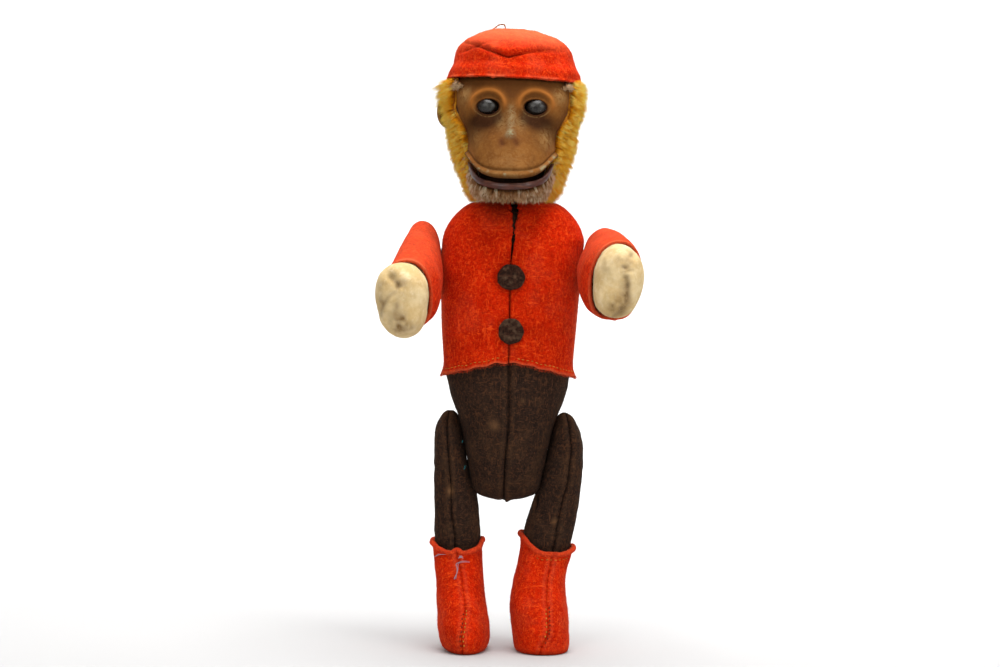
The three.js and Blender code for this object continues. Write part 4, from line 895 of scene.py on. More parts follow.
def hand(side, s, down, body):
    """A felt mitt filling the cuff and bent down at the wrist; a tuck with a soft ridge beside it marks the thumb."""
    rows, cols = 150, 220
    th = np.linspace(0.0, PI, rows)[:, None]
    ph = np.linspace(0, 2 * PI, cols, endpoint=False)[None, :]
    D = np.stack([np.sin(th) * np.cos(ph), -np.cos(th) + 0 * ph, np.sin(th) * np.sin(ph)], -1)      # y is the pole axis
    C = np.array([49.8, -58.0, -2.4])
    left = s > 0

    def field(P):
        wrist = ell(P, [46.9 if not left else 47.6, -54, -3.4 if not left else -2.8], [8.6 if not left else 9.1, 16, 14.0 if not left else 15.7])
        palm = ell(P, [50.0 if not left else 49.6, -65.0, -1.0 if not left else 0.2], [12.4 if not left else 11.3, 10.2, 14.7 if not left else 15.0])
        fing = ell(P, [48.9 if not left else 47.6, -66.5, -10.8 if not left else -9.4], [10.4 if not left else 9.2, 10.4, 10.2 if not left else 9.4])
        thumb = ell(P, [54.0 if not left else 54.4, -67.2, -3.0 if not left else -2.4], [5.6 if not left else 4.6, 7.6, 11.0], rotm(math.radians(8), math.radians(20 if not left else 6), 0))
        a = smin(wrist, palm, 4.0)
        a = smin(a, fing, 3.2)
        return smin(a, thumb, 3.0)

    lo, hi = np.zeros(D.shape[:2]), np.full(D.shape[:2], 60.0)
    for _ in range(26):
        mid = (lo + hi) / 2
        inside = field(C + D * mid[..., None]) < 0
        lo, hi = np.where(inside, mid, lo), np.where(inside, hi, mid)
    G = C + D * lo[..., None]
    N = normals(G)
    if (N * D).sum() < 0:
        N = -N
    P = G.copy()
    X, Z = P[..., 0], P[..., 2]
    front = step(-57, -62, P[..., 1])

    def line(pts):
        path = spline([[a, 0, b] for a, b in pts], 50)
        dd = np.hypot(X[..., None] - path[:, 0], Z[..., None] - path[:, 2])
        return np.min(dd, -1)

    if left:
        tuck_d = line([(51.9, 1.2), (53.2, -4.3), (52.6, -10), (49.8, -14.5), (47.2, -17)])
        ridge_d = line([(51.3, 5.2), (54.2, 2.6), (55.5, -2.6), (54.9, -8.4), (52.5, -13)])
        dims = [(54.7, 11.0, 1.5, 1.6, 1.0), (51.4, 5.9, 1.5, 0.9, 1.5), (53.6, 4.2, 1.8, 0.9, 0.9)]
        stains = [(49.2, -11.5, 4.6, 6.2, 0.95), (47.2, -15.5, 3.6, 3.2, 0.7), (44.6, 6.2, 5.0, 3.6, 0.5), (53.8, 7.2, 2.6, 4.0, 0.55), (49, 9.5, 5, 2.4, 0.3), (51.5, -4, 2.2, 5, 0.5)]
        greys = [(55.0, 11.6, 1.3, 1.4, 0.7), (51.6, 5.6, 1.5, 0.9, 0.8), (50.9, -13.8, 1.8, 3.0, 0.45), (53.0, -1.0, 1.0, 2.6, 0.5)]
    else:
        tuck_d = line([(53.6, 8.0), (51.6, 6.4), (51.4, 4.2), (55.2, 0.6), (58.6, -6.0), (59.2, -9.5)])
        ridge_d = line([(50.0, 3.6), (53.4, 0.2), (56.6, -6.6), (57.0, -11)])
        dims = [(53.6, 9.2, 2.1, 1.9, 1.7), (50.8, 5.4, 1.3, 1.2, 0.9)]
        stains = [(50.4, -11.0, 4.4, 6.4, 0.9), (51.4, -3.2, 1.4, 3.0, 0.45), (49.2, 6.8, 4.0, 2.2, 0.65), (57.4, 5.2, 3.0, 3.0, 0.5), (58.6, -2.0, 2.4, 5.4, 0.6), (47, -14, 5, 3.6, 0.45)]
        greys = [(54.2, 9.8, 1.9, 1.5, 0.85), (51.6, 7.0, 1.6, 1.1, 0.55)]
    g2 = lambda c: np.exp(-(((X - c[0]) / c[2]) ** 2 + ((Z - c[1]) / c[3]) ** 2)) * c[4] * front
    tuck = np.exp(-((tuck_d / 1.15) ** 2)) * front
    ridge = np.exp(-((ridge_d / 1.5) ** 2)) * front
    h = -0.8 * sum(g2(c) for c in dims) - (0.55 if left else 0.4) * tuck + 0.65 * ridge + fbm(P, 11, 3, 3 + s) * 0.45 + fbm(P, 2.6, 2, 6) * 0.08
    G = P + N * h[..., None]
    soft = 0.75 + 0.5 * noise(P, 2.2, 3)
    # brown stains with painted shade in the tuck and where the wrist goes into the cuff; grey spots with painted shade
    # in the dimples and along the tuck
    st = 1.15 * sum(g2(c) for c in stains) * soft + 0.3 * tuck + 0.25 * step(-56, -51, P[..., 1])
    gy = sum(g2(c) for c in greys) * soft + (0.3 if left else 0.08) * tuck
    A = arm_place(G, s, down)
    tk = 0.1 * tuck
    if s < 0:
        A, st, gy, tk = A[:, ::-1], st[:, ::-1], gy[:, ::-1], tk[:, ::-1]
    att = {"stain_and_shade": np.clip(st, 0, 1), "grey_and_shade": np.clip(gy, 0, 1), "shade_and_grime": np.clip(tk, 0, 1)}
    rws = slice(1, -1)
    loft(side + "_mitt", A[rws], CREAM_FELT, body, attrs={k: v[rws] for k, v in att.items()}, stands_for=[side + "_hand"], slot="cream_felt")
    w = (P[..., 1] < -50).astype(float)
    w = w if s > 0 else w[:, ::-1]
    fz = A[rws]
    n = normals(fz)
    cen = fz.reshape(-1, 3).mean(0)
    if ((fz - cen) * n).sum() < 0:
        fz = fz[:, ::-1]
        w = w[:, ::-1]
    fuzz(side + "_mitt_fuzz", fz, 6200, CREAM_FUZZ, body, weight=w[rws], seed=70 + s, slot="cream_felt", length=(0.4, 1.0), r=0.035)


arms()

# ------------------------------------------------------------------ legs and boots
leg_row = {
    1: curve([[38, 9.6, 8.8, 18.6], [46, 11.0, 10.2, 19.6], [54.5, 11.9, 11.5, 20.8], [61.2, 12.0, 11.6, 22.1], [67.4, 11.6, 11.8, 23.4], [74, 10.9, 12.1, 24.9], [79, 9.9, 12.4, 26.3], [85.7, 8.9, 12.8, 27.8], [93.6, 8.0, 13.4, 28.8], [100, 7.2, 13.6, 29.4],
              [104, 6.6, 12.8, 29.3], [109, 5.2, 9.8, 28.7], [112, 3.6, 6, 28.1], [113.6, 1.6, 2.6, 27.7], [114.1, 0.6, 1, 27.6]]),
    -1: curve([[38, 8.8, 8.8, 22.8], [46, 10.4, 10.2, 23.0], [57, 11.1, 11.5, 23.3], [66, 10.8, 11.7, 23.8], [74.4, 10.2, 12, 24.6], [80.6, 9.2, 12.5, 25.9], [88.4, 8.1, 13, 27.0], [98.8, 7.0, 13.6, 27.9], [105, 6.2, 12.4, 28.3], [109.5, 5, 9, 28.1],
               [112.8, 3.2, 5.2, 27.9], [114.3, 1.2, 2, 27.8], [114.6, 0.5, 0.8, 27.8]])}
leg_seam = {1: curve([[40, 22.4], [49.3, 23.4], [54.6, 24.1], [65, 25.9], [74, 27.8], [83.3, 29.7], [96.4, 30.8], [108, 29.6], [115, 28]]), -1: curve([[40, 23.8], [49.3, 24.2], [57.4, 24.9], [67.7, 26.3], [75.5, 26.6], [88.5, 27.8], [98.9, 28.8], [106.7, 29.3], [115, 28.4]])}
boot_row = {
    1: curve([[0, 11.8, 18.8, 18.6, -9.2], [0.6, 12.6, 20.2, 18.4, -9.2], [2.2, 13.1, 21.2, 18.2, -9.2], [6, 13.5, 21.7, 18.0, -9.2], [10, 13.7, 21.8, 17.6, -9.0], [14.5, 14.0, 21.4, 17.1, -8.6], [19, 14.0, 20.4, 16.7, -7.8], [24.6, 13.5, 18.4, 16.3, -6.4], [31.5, 12.8, 15.8, 16.5, -4.2],
              [39.5, 12.2, 13.8, 17.9, -1.8], [45, 12.5, 13.2, 19.4, -0.6], [50, 12.8, 13.2, 20.3, 0], [60, 13.0, 13.4, 20.6, 0]]),
    -1: curve([[0, 8.6, 20.4, 18.2, -11.2], [0.6, 9.6, 22.0, 18.2, -11.2], [2.2, 10.7, 23.4, 18.3, -11.2], [6, 11.8, 24.2, 18.6, -11.2], [12, 12.3, 23.6, 19.1, -10.8], [18, 11.9, 21.8, 19.8, -9.2], [24, 11.8, 19.0, 20.6, -7.2], [34, 11.6, 15.2, 21.6, -3.4], [44, 11.6, 13.2, 22.8, -0.8],
               [50, 12.0, 13.2, 23.1, -0.2], [60, 12.2, 13.4, 23.3, 0]])}
boot_seam = {1: curve([[0, 17.2], [2, 17.6], [5.6, 18.6], [8, 19.8], [12, 20.8], [17, 20.7], [21.5, 20.7], [25.5, 20.4], [31, 20.4], [37.8, 21.2], [43, 22.1], [50, 23.4], [60, 24]]), -1: curve([[0, 19.4], [4, 19.2], [7.8, 19.6], [11.5, 19.0], [16.2, 18.7], [20.9, 18.4], [25.7, 18.8], [30.3, 19.7], [36, 20.7], [47.5, 23.1], [60, 24]])}


def legs():
    for side, s in (("left", 1), ("right", -1)):
        body = side + "_leg"
        zs = np.concatenate([np.linspace(38, 110, 110), [111, 112, 112.8, 113.4, 113.8, 114.05]])
        cols = 130
        phi = np.linspace(0, 2 * PI, cols, endpoint=False)
        G = np.zeros((len(zs), cols, 3))
        for i, z in enumerate(zs):
            hx, hy, xc = leg_row[s](z)
            x, y = oval(phi, hx, hy, 2.25)
            G[i] = np.stack([xc + x, y, np.full(cols, z)], -1)
        if s > 0:
            G[..., 0] -= 1.65 * np.exp(-(((G[..., 2] - 97) / 17) ** 4)) * step(2, -6, G[..., 0] - leg_row[s](G[..., 2])[..., 2])
        P = G.copy()
        N = normals(G)
        q = P[..., 0] - leg_seam[s](P[..., 2])[..., 0] + 0.25 * noise(P * [0, 0, 1], 6, 5 + s)
        fr = step(2, -3, P[..., 1]) + step(-2, 3, P[..., 1])
        groove = -1.0 * np.exp(-((q / 0.65) ** 2)) + 0.4 * np.exp(-(((np.abs(q) - 1.9) / 1.1) ** 2))
        pucker = 0.22 * np.exp(-((q / 3) ** 2)) * np.sin(P[..., 2] * 2 * PI / 3.1)
        lump = fbm(P, 15, 3, 51 + s) * 0.45 + fbm(P, 4, 2, 5) * 0.13
        crease = -0.5 * np.exp(-(((P[..., 2] - 84 - 0.3 * q) / 1.2) ** 2)) * step(0, 6, np.abs(q)) * 0.5
        h = (groove + pucker) * fr * step(114, 110, P[..., 2]) + lump * step(114, 108, P[..., 2]) + crease
        # painted shade in the seam's groove and painted highlight on the ridges beside it; the top of the leg lighter
        shade_and_grime = np.exp(-((q / 0.36) ** 2)) * 0.9 * fr
        wear_and_highlight = 0.05 * step(0.1, 0.8, fbm(P, 7, 3, 6)) + 0.05 * np.exp(-(((np.abs(q) - 1.9) / 0.8) ** 2)) * fr + 0.16 * step(110, 114, P[..., 2])
        if s < 0:    # a moth-eaten spot on the seam shows the pale backing
            wear_and_highlight = wear_and_highlight + 0.8 * np.exp(-((q - 0.2) / 1.25) ** 2 - ((P[..., 2] - 75.8) / 2.4) ** 2) * (P[..., 1] < 0)
            h = h - 0.5 * np.exp(-((q - 0.2) / 1.25) ** 2 - ((P[..., 2] - 75.8) / 2.4) ** 2) * (P[..., 1] < 0)
        else:        # a seam on the inner side has come open, and there is a rubbed spot by the front seam
            # the opened seam is darkened inside with painted shade
            gap = np.exp(-(((P[..., 0] - 14.9 - 0.13 * (P[..., 2] - 71)) / 0.55) ** 2)) * np.exp(-(((P[..., 2] - 71.2) / 3.6) ** 4)) * (P[..., 1] < 0)
            h = h - 0.9 * gap
            shade_and_grime = shade_and_grime + 0.95 * gap
            wear_and_highlight = wear_and_highlight + 0.3 * np.exp(-(((P[..., 0] - 13.6 - 0.13 * (P[..., 2] - 71)) / 0.6) ** 2)) * np.exp(-(((P[..., 2] - 71.2) / 4.2) ** 4)) * (P[..., 1] < 0)
            wear_and_highlight = wear_and_highlight + 0.4 * np.exp(-(((P[..., 0] - 23.6) / 1.6) ** 2 + ((P[..., 2] - 62) / 1.5) ** 2)) * (P[..., 1] < 0)
        G = P + N * h[..., None]
        G[..., 0] *= s
        if s < 0:
            G, shade_and_grime, wear_and_highlight = G[:, ::-1], shade_and_grime[:, ::-1], wear_and_highlight[:, ::-1]
        loft(side + "_trouser_leg_felt", G, DARK_FELT, body, attrs={"shade_and_grime": np.clip(shade_and_grime, 0, 1), "wear_and_highlight": np.clip(wear_and_highlight, 0, 0.9)}, stands_for=[side + "_trouser_leg"], slot="dark_felt")
        fuzz(side + "_leg_fuzz", G, 4200, DARK_FUZZ, body, seed=80 + s, slot="dark_felt", length=(0.4, 1.1), r=0.038)
        boot(side, s, body)


def boot(side, s, body):
    cols = 200
    phi = np.linspace(0, 2 * PI, cols, endpoint=False)
    # the rim runs low in front and higher behind; the figure's own left boot also stands high on its inner side
    cosx = np.cos(phi)
    sn = np.sin(phi)
    # the wall of each boot is rolled over at the rim, lowest either side of the front seam
    back = 4.0 * np.clip(sn, 0, 1)
    inner, outer = np.clip(-cosx, 0, 1), np.clip(cosx, 0, 1)
    if s > 0:
        rim = 47.0 + 8.6 * inner ** 1.6 + 2.0 * outer ** 4 + 0.7 * back - 0.6 * np.exp(-(((phi - 1.5 * PI - 0.5) / 0.28) ** 2))
    else:
        rim = 46.6 + 5.2 * inner ** 3 + 4.4 * outer ** 3 + 0.8 * back + 1.6 * np.exp(-(((phi - 1.5 * PI) / 0.12) ** 2)) + 0.4 * np.exp(-(((phi - 1.5 * PI - 0.45) / 0.3) ** 2))
    rim = rim + 0.25 * np.sin(5 * phi + s)
    T = np.concatenate([[0, 0.003, 0.008, 0.015, 0.025, 0.04], np.linspace(0.055, 1.0, 100)])
    G = np.zeros((len(T), cols, 3))
    for i, t in enumerate(T):
        z = rim * t
        hx, hy, xc, yc = np.moveaxis(boot_row[s](z), -1, 0)
        lip = 0.4 * np.exp(-(((t - 0.975) / 0.03) ** 2)) + 0.2 * step(0.97, 1.0, t)
        x, y = oval(phi, hx + lip, hy + lip * 0.8, 2.35)
        x2, y2 = oval(phi, hx + lip, hy + lip * 0.8, 2.0 if s < 0 else 2.25)
        kk = step(14, 3, z)
        x, y = x + (x2 - x) * kk, y + (y2 - y) * kk
        G[i] = np.stack([xc + x, y + yc, z], -1)
    P = G.copy()
    N = normals(G)
    z = P[..., 2]
    q = P[..., 0] - boot_seam[s](z)[..., 0] + 0.2 * noise(P * [0, 0, 1], 5, 3)
    fr = step(-2, -6, P[..., 1]) + step(4, 8, P[..., 1]) * step(3, 8, z)
    groove = -0.42 * np.exp(-((q / 0.5) ** 2)) + 0.22 * np.exp(-(((np.abs(q) - 1.7) / 1.0) ** 2))
    puck = 0.16 * np.exp(-((q / 2.6) ** 2)) * np.sin(z * 2 * PI / 2.3)
    ankle = -0.2 * np.exp(-(((z - 33 - 0.3 * P[..., 1]) / 5) ** 2))
    lump = fbm(P, 15, 3, 61 + s) * 0.4 * step(52, 46, z) + fbm(P, 4, 2, 5) * 0.12
    flat = step(0, 2.2, z)
    G = P + N * (((groove + puck) * fr + lump + ankle) * flat)[..., None]
    G[..., 2] = np.maximum(G[..., 2], 0.0)
    # the rim's top and the ridges by the seam lighter: painted highlight; painted shade in the seam's groove and round
    # the foot where it meets the floor; a patchy band of grime round the ankle
    wear_and_highlight = 0.03 * step(0.1, 0.9, fbm(P, 8, 3, 7)) + 0.2 * step(0.975, 1.0, T)[:, None] + 0.06 * np.exp(-(((np.abs(q) - 1.7) / 0.9) ** 2)) * fr
    shade_and_grime = 0.5 * np.exp(-((q / 0.3) ** 2)) * fr + 0.25 * step(3, 0.4, z) + 0.10 * np.exp(-((z - 24) / 8) ** 2) * step(0.1, 0.9, fbm(P, 6, 2, 12) + 0.4)
    G[..., 0] *= s
    if s < 0:
        G, wear_and_highlight, shade_and_grime, fr = G[:, ::-1], wear_and_highlight[:, ::-1], shade_and_grime[:, ::-1], fr[:, ::-1]
        q = q[:, ::-1]
    loft(side + "_boot_felt", G, RED_FELT, body, cap=(True, False), attrs={"wear_and_highlight": np.clip(wear_and_highlight, 0, 1), "shade_and_grime": np.clip(shade_and_grime, 0, 1)}, stands_for=[side + "_boot"], slot="red_felt", mods=[SOLID(1.4)])
    fuzz(side + "_boot_fuzz", G, 8500, RED_FUZZ, body, seed=90 + s, slot="red_felt", length=(0.4, 1.2), r=0.04)
    rng = np.random.default_rng(40 + s)
    k = rng.integers(0, cols, 1500)
    nn = normals(G)[-2][k]
    strands(side + "_rim_fuzz", G[-1][k] + nn * rng.uniform(-1.2, 0.1, (1500, 1)), nn * 0.5 + [0, 0, 0.6] + rng.normal(size=(1500, 3)) * 0.6, rng.uniform(0.5, 1.4, 1500), 0.045, RED_FUZZ, body, slot="red_felt")
    # the rim is rolled over on itself all the way round
    edge = G[-1] - (G[-1] - G[-1].mean(0)) * [1, 1, 0] / 14.0 * 0.25 - [0, 0, 0.5]
    edge = edge + rng.normal(size=edge.shape) * 0.0 + np.stack([fbm(edge, 4, 2, 600 + k_) for k_ in range(3)], -1) * 0.22
    tg = np.roll(edge, -1, 0) - np.roll(edge, 1, 0)
    tg /= np.linalg.norm(tg, axis=1, keepdims=True)
    o1 = np.cross(tg, [0, 0, 1.0])
    o1 /= np.linalg.norm(o1, axis=1, keepdims=True)
    o2 = np.cross(o1, tg)
    aa = np.linspace(0, 2 * PI, 22, endpoint=False)
    rr_ = 1.2 + 0.16 * fbm(edge, 5, 2, 650)
    R = edge[:, None] + (o1[:, None] * np.cos(aa)[None, :, None] * 1.05 + o2[:, None] * np.sin(aa)[None, :, None]) * rr_[:, None, None]
    ri, ci = np.meshgrid(np.arange(cols), np.arange(22), indexing="ij")
    rf = np.stack([ri * 22 + ci, ((ri + 1) % cols) * 22 + ci, ((ri + 1) % cols) * 22 + (ci + 1) % 22, ri * 22 + (ci + 1) % 22], -1).reshape(-1, 4)
    cen_ = R.mean(1)
    q0 = R.reshape(-1, 3)[rf[0]]
    if np.dot(np.cross(q0[1] - q0[0], q0[2] - q0[0]), q0.mean(0) - cen_[0]) < 0:
        rf = rf[:, ::-1]
    mesh(side + "_boot_rim", R.reshape(-1, 3), rf, RED_FELT, body, attrs={"wear_and_highlight": np.full(cols * 22, 0.08), "shade_and_grime": np.zeros(cols * 22)}, slot="red_felt")
    # a line of stitches down the front seam, from the ankle to the toe
    front = np.array([np.argmin(np.where(G[i, :, 1] < G[i, :, 1].mean(), np.abs(q[i]), 99)) for i in range(len(T))])
    rows = np.arange(8, 74)
    NN = normals(G)
    pts = np.array([G[i, front[i]] for i in rows])
    nn = np.array([NN[i, front[i]] for i in rows])
    for tag, off, mat_, lo_, hi_ in ((("a", 0.75, THREAD, 0, 44), ("b", -0.7, DARK_THREAD, 0, 40)) if s < 0 else (("a", 0.8, DARK_THREAD, 4, 50), ("b", -0.75, THREAD, 10, 46))):
        pp = pts[lo_:hi_].copy()
        pp[:, 0] += off
        thread_run(side + "_boot_stitch_" + tag, (pp + nn[lo_:hi_] * 0.55, nn[lo_:hi_]), mat_, body, pitch=2.3, length=1.05, r=0.27, seed=30 + s, slot="red_felt")
    # a run of thread round the leg a little under the rim
    rimrow = int(len(T) * 0.93)
    cs = np.arange(int(cols * 0.70), int(cols * 0.93))
    rp, rn = G[rimrow][cs], NN[rimrow][cs]
    if s > 0:
        thread_run(side + "_rim_stitch", (rp + rn * 0.12, rn), THREAD, body, pitch=2.3, length=1.4, r=0.14, seed=36, slot="red_felt")


legs()

# ------------------------------------------------------------------ head
HEAD_TURN = math.radians(-1.7)


def head_place(P):
    P = np.array(P, float)
    c, s = math.cos(HEAD_TURN), math.sin(HEAD_TURN)
    x, y = P[..., 0].copy(), P[..., 1].copy()
    P[..., 0], P[..., 1] = x * c - y * s, x * s + y * c
    return P


# half width of the mask and how far its middle line stands forward, by height
mask_row = curve([[222.6, 18.6, 46.6], [224.5, 19.4, 47.8], [228, 20.2, 47.6], [233, 20.4, 46.0], [239, 20.6, 43.6], [244, 21.6, 40.6], [250, 23.6, 36.4], [256, 25.6, 33.4], [262, 26.9, 32.2], [267, 27.2, 31.2], [272, 26.6, 30.2], [277, 26.0, 29.0]])
EYE_X, EYE_Z = 11.4, 258.8


def lip_z(x):
    """Height of the mask's lower edge at x."""
    a = np.abs(x) / 21.6
    return 223.8 + 2.0 * a**2 + 12.0 * np.clip(a, 0, 1.2) ** 4.2


def mask():
    rows, cols = 260, 300
    u = np.linspace(-1, 1, cols)
    v = np.linspace(0, 1, rows)
    U, Vv = np.meshgrid(u, v)
    # first guess of x at mid height, then the lower edge bends up to the mouth's corners
    x0 = 21.0 * np.sin(U * PI / 2)
    zlo = lip_z(x0)
    Z = zlo + (276.5 - zlo) * Vv
    row = mask_row(Z)
    w, f = row[..., 0], row[..., 1]
    flare = 1.3 * step(7.5, 0, Z - zlo) * step(0.62, 1.0, np.abs(U))
    w = w + flare
    X = w * np.sin(U * PI / 2)
    back = 12.5
    expo = 0.62 + 0.12 * step(250, 262, Z)
    Y = -(back + (f - back) * np.maximum(0, np.cos(U * PI / 2)) ** expo)
    G = np.stack([X, Y, Z], -1)
    N = normals(G, False)
    if N[rows // 2, cols // 2, 1] > 0:
        N = -N
    P = G.copy()
    ax = np.abs(X)
    h = np.zeros_like(X)
    # eye sockets and the raised ring over each eye
    ex, ez = ax - EYE_X, Z - EYE_Z
    arch_r = np.hypot(ex / 7.6, (ez - 0.7) / 7.0)
    arch = np.exp(-(((arch_r - 1) / 0.15) ** 2))
    up = step(-0.75, 0.25, (ez - 0.7) / 7.0)
    h += 1.05 * arch * up
    sock = step(1.05, 0.55, arch_r)
    h -= 1.1 * step(1.15, 0.35, arch_r)
    under = np.exp(-((ex / 7.0) ** 2 + ((ez + 8.5) / 5.5) ** 2))
    h -= 0.9 * under
    open_r = np.hypot(ex / 5.2, (ez - 0.15 * 0) / 3.55)
    lid = np.exp(-(((open_r - 1.13) / 0.14) ** 2))
    h += 0.3 * lid
    # forehead, bridge and nose
    h -= 0.3 * np.exp(-(((ax - 4.8) / 2.8) ** 2 + ((Z - 258) / 7) ** 2))
    h += 0.9 * np.exp(-((ax / 2.0) ** 2)) * step(268, 258, Z) * step(240, 250, Z)
    h += 1.1 * np.exp(-((X / 2.6) ** 2 + ((Z - 244.3) / 2.4) ** 2))
    h += 0.5 * np.exp(-((ax / 5.5) ** 2 + ((Z - 240.5) / 4.0) ** 2))
    h -= 0.6 * np.exp(-(((ax - 3.5) / 1.5) ** 2 + ((Z - 239.8) / 1.4) ** 2))
    # cheeks pull in above the muzzle
    h -= 0.8 * np.exp(-(((Z - 247) / 5) ** 2)) * step(8, 17, ax)
    # the moulded upper lip: a crease, then a rolled edge
    e = Z - zlo
    lw = 3.1 - 1.0 * step(10, 21, ax)
    h -= 0.55 * np.exp(-(((e - lw - 0.6) / 0.7) ** 2))
    h += 0.85 * np.exp(-(((e - lw * 0.45) / (lw * 0.45)) ** 2))
    h += fbm(P, 9, 2, 71) * 0.16 + fbm(P, 2.2, 2, 5) * 0.05
    G = P + N * h[..., None]
    # tuck the top in under the cap
    rmax = 32.4 - 0.62 * np.clip(Z - 271.0, 0, 10)
    rr = np.hypot(G[..., 0], G[..., 1] - 0.5)
    k = np.where(Z > 263, np.minimum(1, (rmax - 1.0 - 0.6 * step(266, 272, Z)) / rr), 1.0)
    k = 1 - (1 - k) * step(263, 271.5, Z)
    G[..., 0] *= k
    G[..., 1] = 0.5 + (G[..., 1] - 0.5) * k
    # colour layers. Painted shade under the cap's rim and down the middle of the forehead; painted shade in the eye
    # sockets, round the openings, under the eyes over the sprayed darkening there, at the sides of the cheeks, in the
    # crease over the lip and under its rolled edge
    n4 = 0.5 + 0.5 * noise(P, 4.5, 90)
    brow_shade = np.clip(step(260, 267, Z) * (1 - 0.8 * arch * up) * (0.8 + 0.2 * n4) + 0.6 * step(254, 263, Z) * step(9, 3, ax), 0, 1)
    brow_shade *= 1 - 0.7 * step(17.5, 23, ax) * step(272, 262, Z)
    ring = step(0.9, 1.25, open_r)
    cup = step(1.1, 0.7, arch_r)
    below = np.exp(-(((ax - 11.0) / 7.0) ** 2 + ((Z - 252.6) / 3.8) ** 2))
    soft = np.exp(-(((ax - 12.5) / 8.0) ** 2 + ((Z - 249.4) / 5.6) ** 2))
    inner = np.exp(-(((ax - 5.4) / 2.6) ** 2 + ((Z - 254.6) / 4.2) ** 2))
    outer = np.exp(-(((ax - 17.6) / 3.6) ** 2 + ((Z - 253.0) / 4.6) ** 2))
    painted_shade = 0.42 * cup * (1 - 0.25 * up) + 0.75 * below + 0.42 * soft + 0.5 * inner + np.where(X < 0, 0.3, 0.18) * outer + 0.75 * np.exp(-(((open_r - 1.02) / 0.1) ** 2)) * (0.6 + 0.4 * up)
    painted_shade = painted_shade + 0.26 * step(13, 20, ax) * step(262, 250, Z) * step(234, 242, Z) + 0.2 * np.exp(-(((Z - 247) / 5) ** 2)) * step(6, 14, ax)
    painted_shade = np.clip(painted_shade, 0, 0.97)
    painted_shade = np.clip(painted_shade + 0.4 * np.exp(-(((e - lw - 0.5) / 0.45) ** 2)) + 0.3 * step(lw * 1.05, lw * 0.8, e) + 0.4 * step(1.2, 0.0, e), 0, 0.97)
    orange = np.clip(arch * up * 1.0 + 0.4 * np.exp(-(((arch_r - 1.18) / 0.2) ** 2)) * up + 0.2 * np.exp(-((ax / 12) ** 2 + ((Z - 233) / 5) ** 2)) + 0.35 * lid + 0.45 * np.exp(-(((e - lw * 0.75) / 0.7) ** 2)) + 0.4 * step(16, 19, ax) * step(246, 238, Z) * step(228, 232, Z), 0, 1)
    pale = np.clip(0.5 * np.exp(-(((ax - 23.0) / 2.8) ** 2 + ((Z - 264.5) / 4) ** 2)) + 0.22 * np.exp(-((X / 10) ** 2 + ((Z - 232) / 6) ** 2)) + 0.3 * np.exp(-(((open_r - 1.3) / 0.07) ** 2)) * (1 - up) + 0.5 * np.exp(-(((e - lw * 0.5) / (lw * 0.4)) ** 2)) * np.clip(0.5 + 0.9 * noise(P, 3, 9), 0, 1), 0, 1)
    pale = pale + 0.42 * np.exp(-(((X - 17.5) / 3.6) ** 2 + ((Z - 243) / 5) ** 2)) + 0.16 * np.exp(-(((X + 17.5) / 3.6) ** 2 + ((Z - 243) / 5) ** 2)) + 0.3 * np.exp(-((ax - 4.5) / 2.4) ** 2 - ((Z - 250.5) / 4) ** 2)
    pale = pale + 0.3 * np.exp(-((X / 2.2) ** 2)) * step(262, 256, Z) * step(247, 252, Z)
    # light grey on the nose tip: a painted highlight; lighter down the bridge and in specks on the lip's roll: rubbed
    # felt, with painted highlight on these raised places
    worn_and_highlight = np.clip(0.4 * np.exp(-((X / 1.6) ** 2)) * step(261, 255, Z) * step(243.5, 248, Z) + 1.0 * np.exp(-(((X + 0.3) / 1.9) ** 2 + ((Z - 244.4) / 1.7) ** 2)) + 0.8 * step(0.1, 0.6, noise(P, 2.4, 14)) * np.exp(-(((e - lw * 0.6) / 0.9) ** 2)), 0, 1)
    nostril = np.clip(0.95 * np.exp(-(((X + 4.0) / 1.6) ** 2 + ((Z - 240.6) / 2.2) ** 2)) + 0.6 * np.exp(-(((X - 2.8) / 1.9) ** 2 + ((Z - 240.8) / 2.4) ** 2)) + 0.35 * np.exp(-((X / 4.6) ** 2 + ((Z - 242) / 2.2) ** 2)), 0, 1)
    # the side edges darker: painted shade where the mask meets the mohair
    shade_and_grime = np.clip(0.9 * step(0.05, 0.0, 1 - np.abs(U)), 0, 1)
    at = dict(brow_shade=brow_shade, painted_shade=painted_shade, orange=orange, pale=pale, worn_and_highlight=worn_and_highlight, nostril=nostril, shade_and_grime=shade_and_grime)
    # leave out what the eye openings take away
    F = grid_faces(rows, cols, False)
    inside = (open_r.ravel() < 1.0)
    keep = ~inside[F].all(1)
    F = F[keep]
    Gp = G.reshape(-1, 3).copy()
    # slide the ragged edge of each opening on to its ellipse
    orr = open_r.ravel()
    rim = np.zeros(len(Gp), bool)
    cnt = np.bincount(F.ravel(), minlength=len(Gp))
    rim = (cnt > 0) & (orr < 1.0)
    for i in np.where(rim)[0]:
        sx = np.sign(Gp[i, 0])
        k = 1.0 / max(orr[i], 1e-3)
        Gp[i, 0] = sx * (EYE_X + (abs(Gp[i, 0]) - EYE_X) * k)
        Gp[i, 2] = EYE_Z + (Gp[i, 2] - EYE_Z) * k
        Gp[i, 1] += 0.25
    Gp = head_place(Gp)
    used, inv = np.unique(F, return_inverse=True)
    F = inv.reshape(F.shape)
    mesh("face_mask_shell", Gp[used], F[:, ::1], MASK, "head", attrs={k: a.ravel()[used] for k, a in at.items()}, stands_for=["face_mask"], slot="mask_felt", mods=[SOLID(1.3)])
    return G


MASK_G = mask()


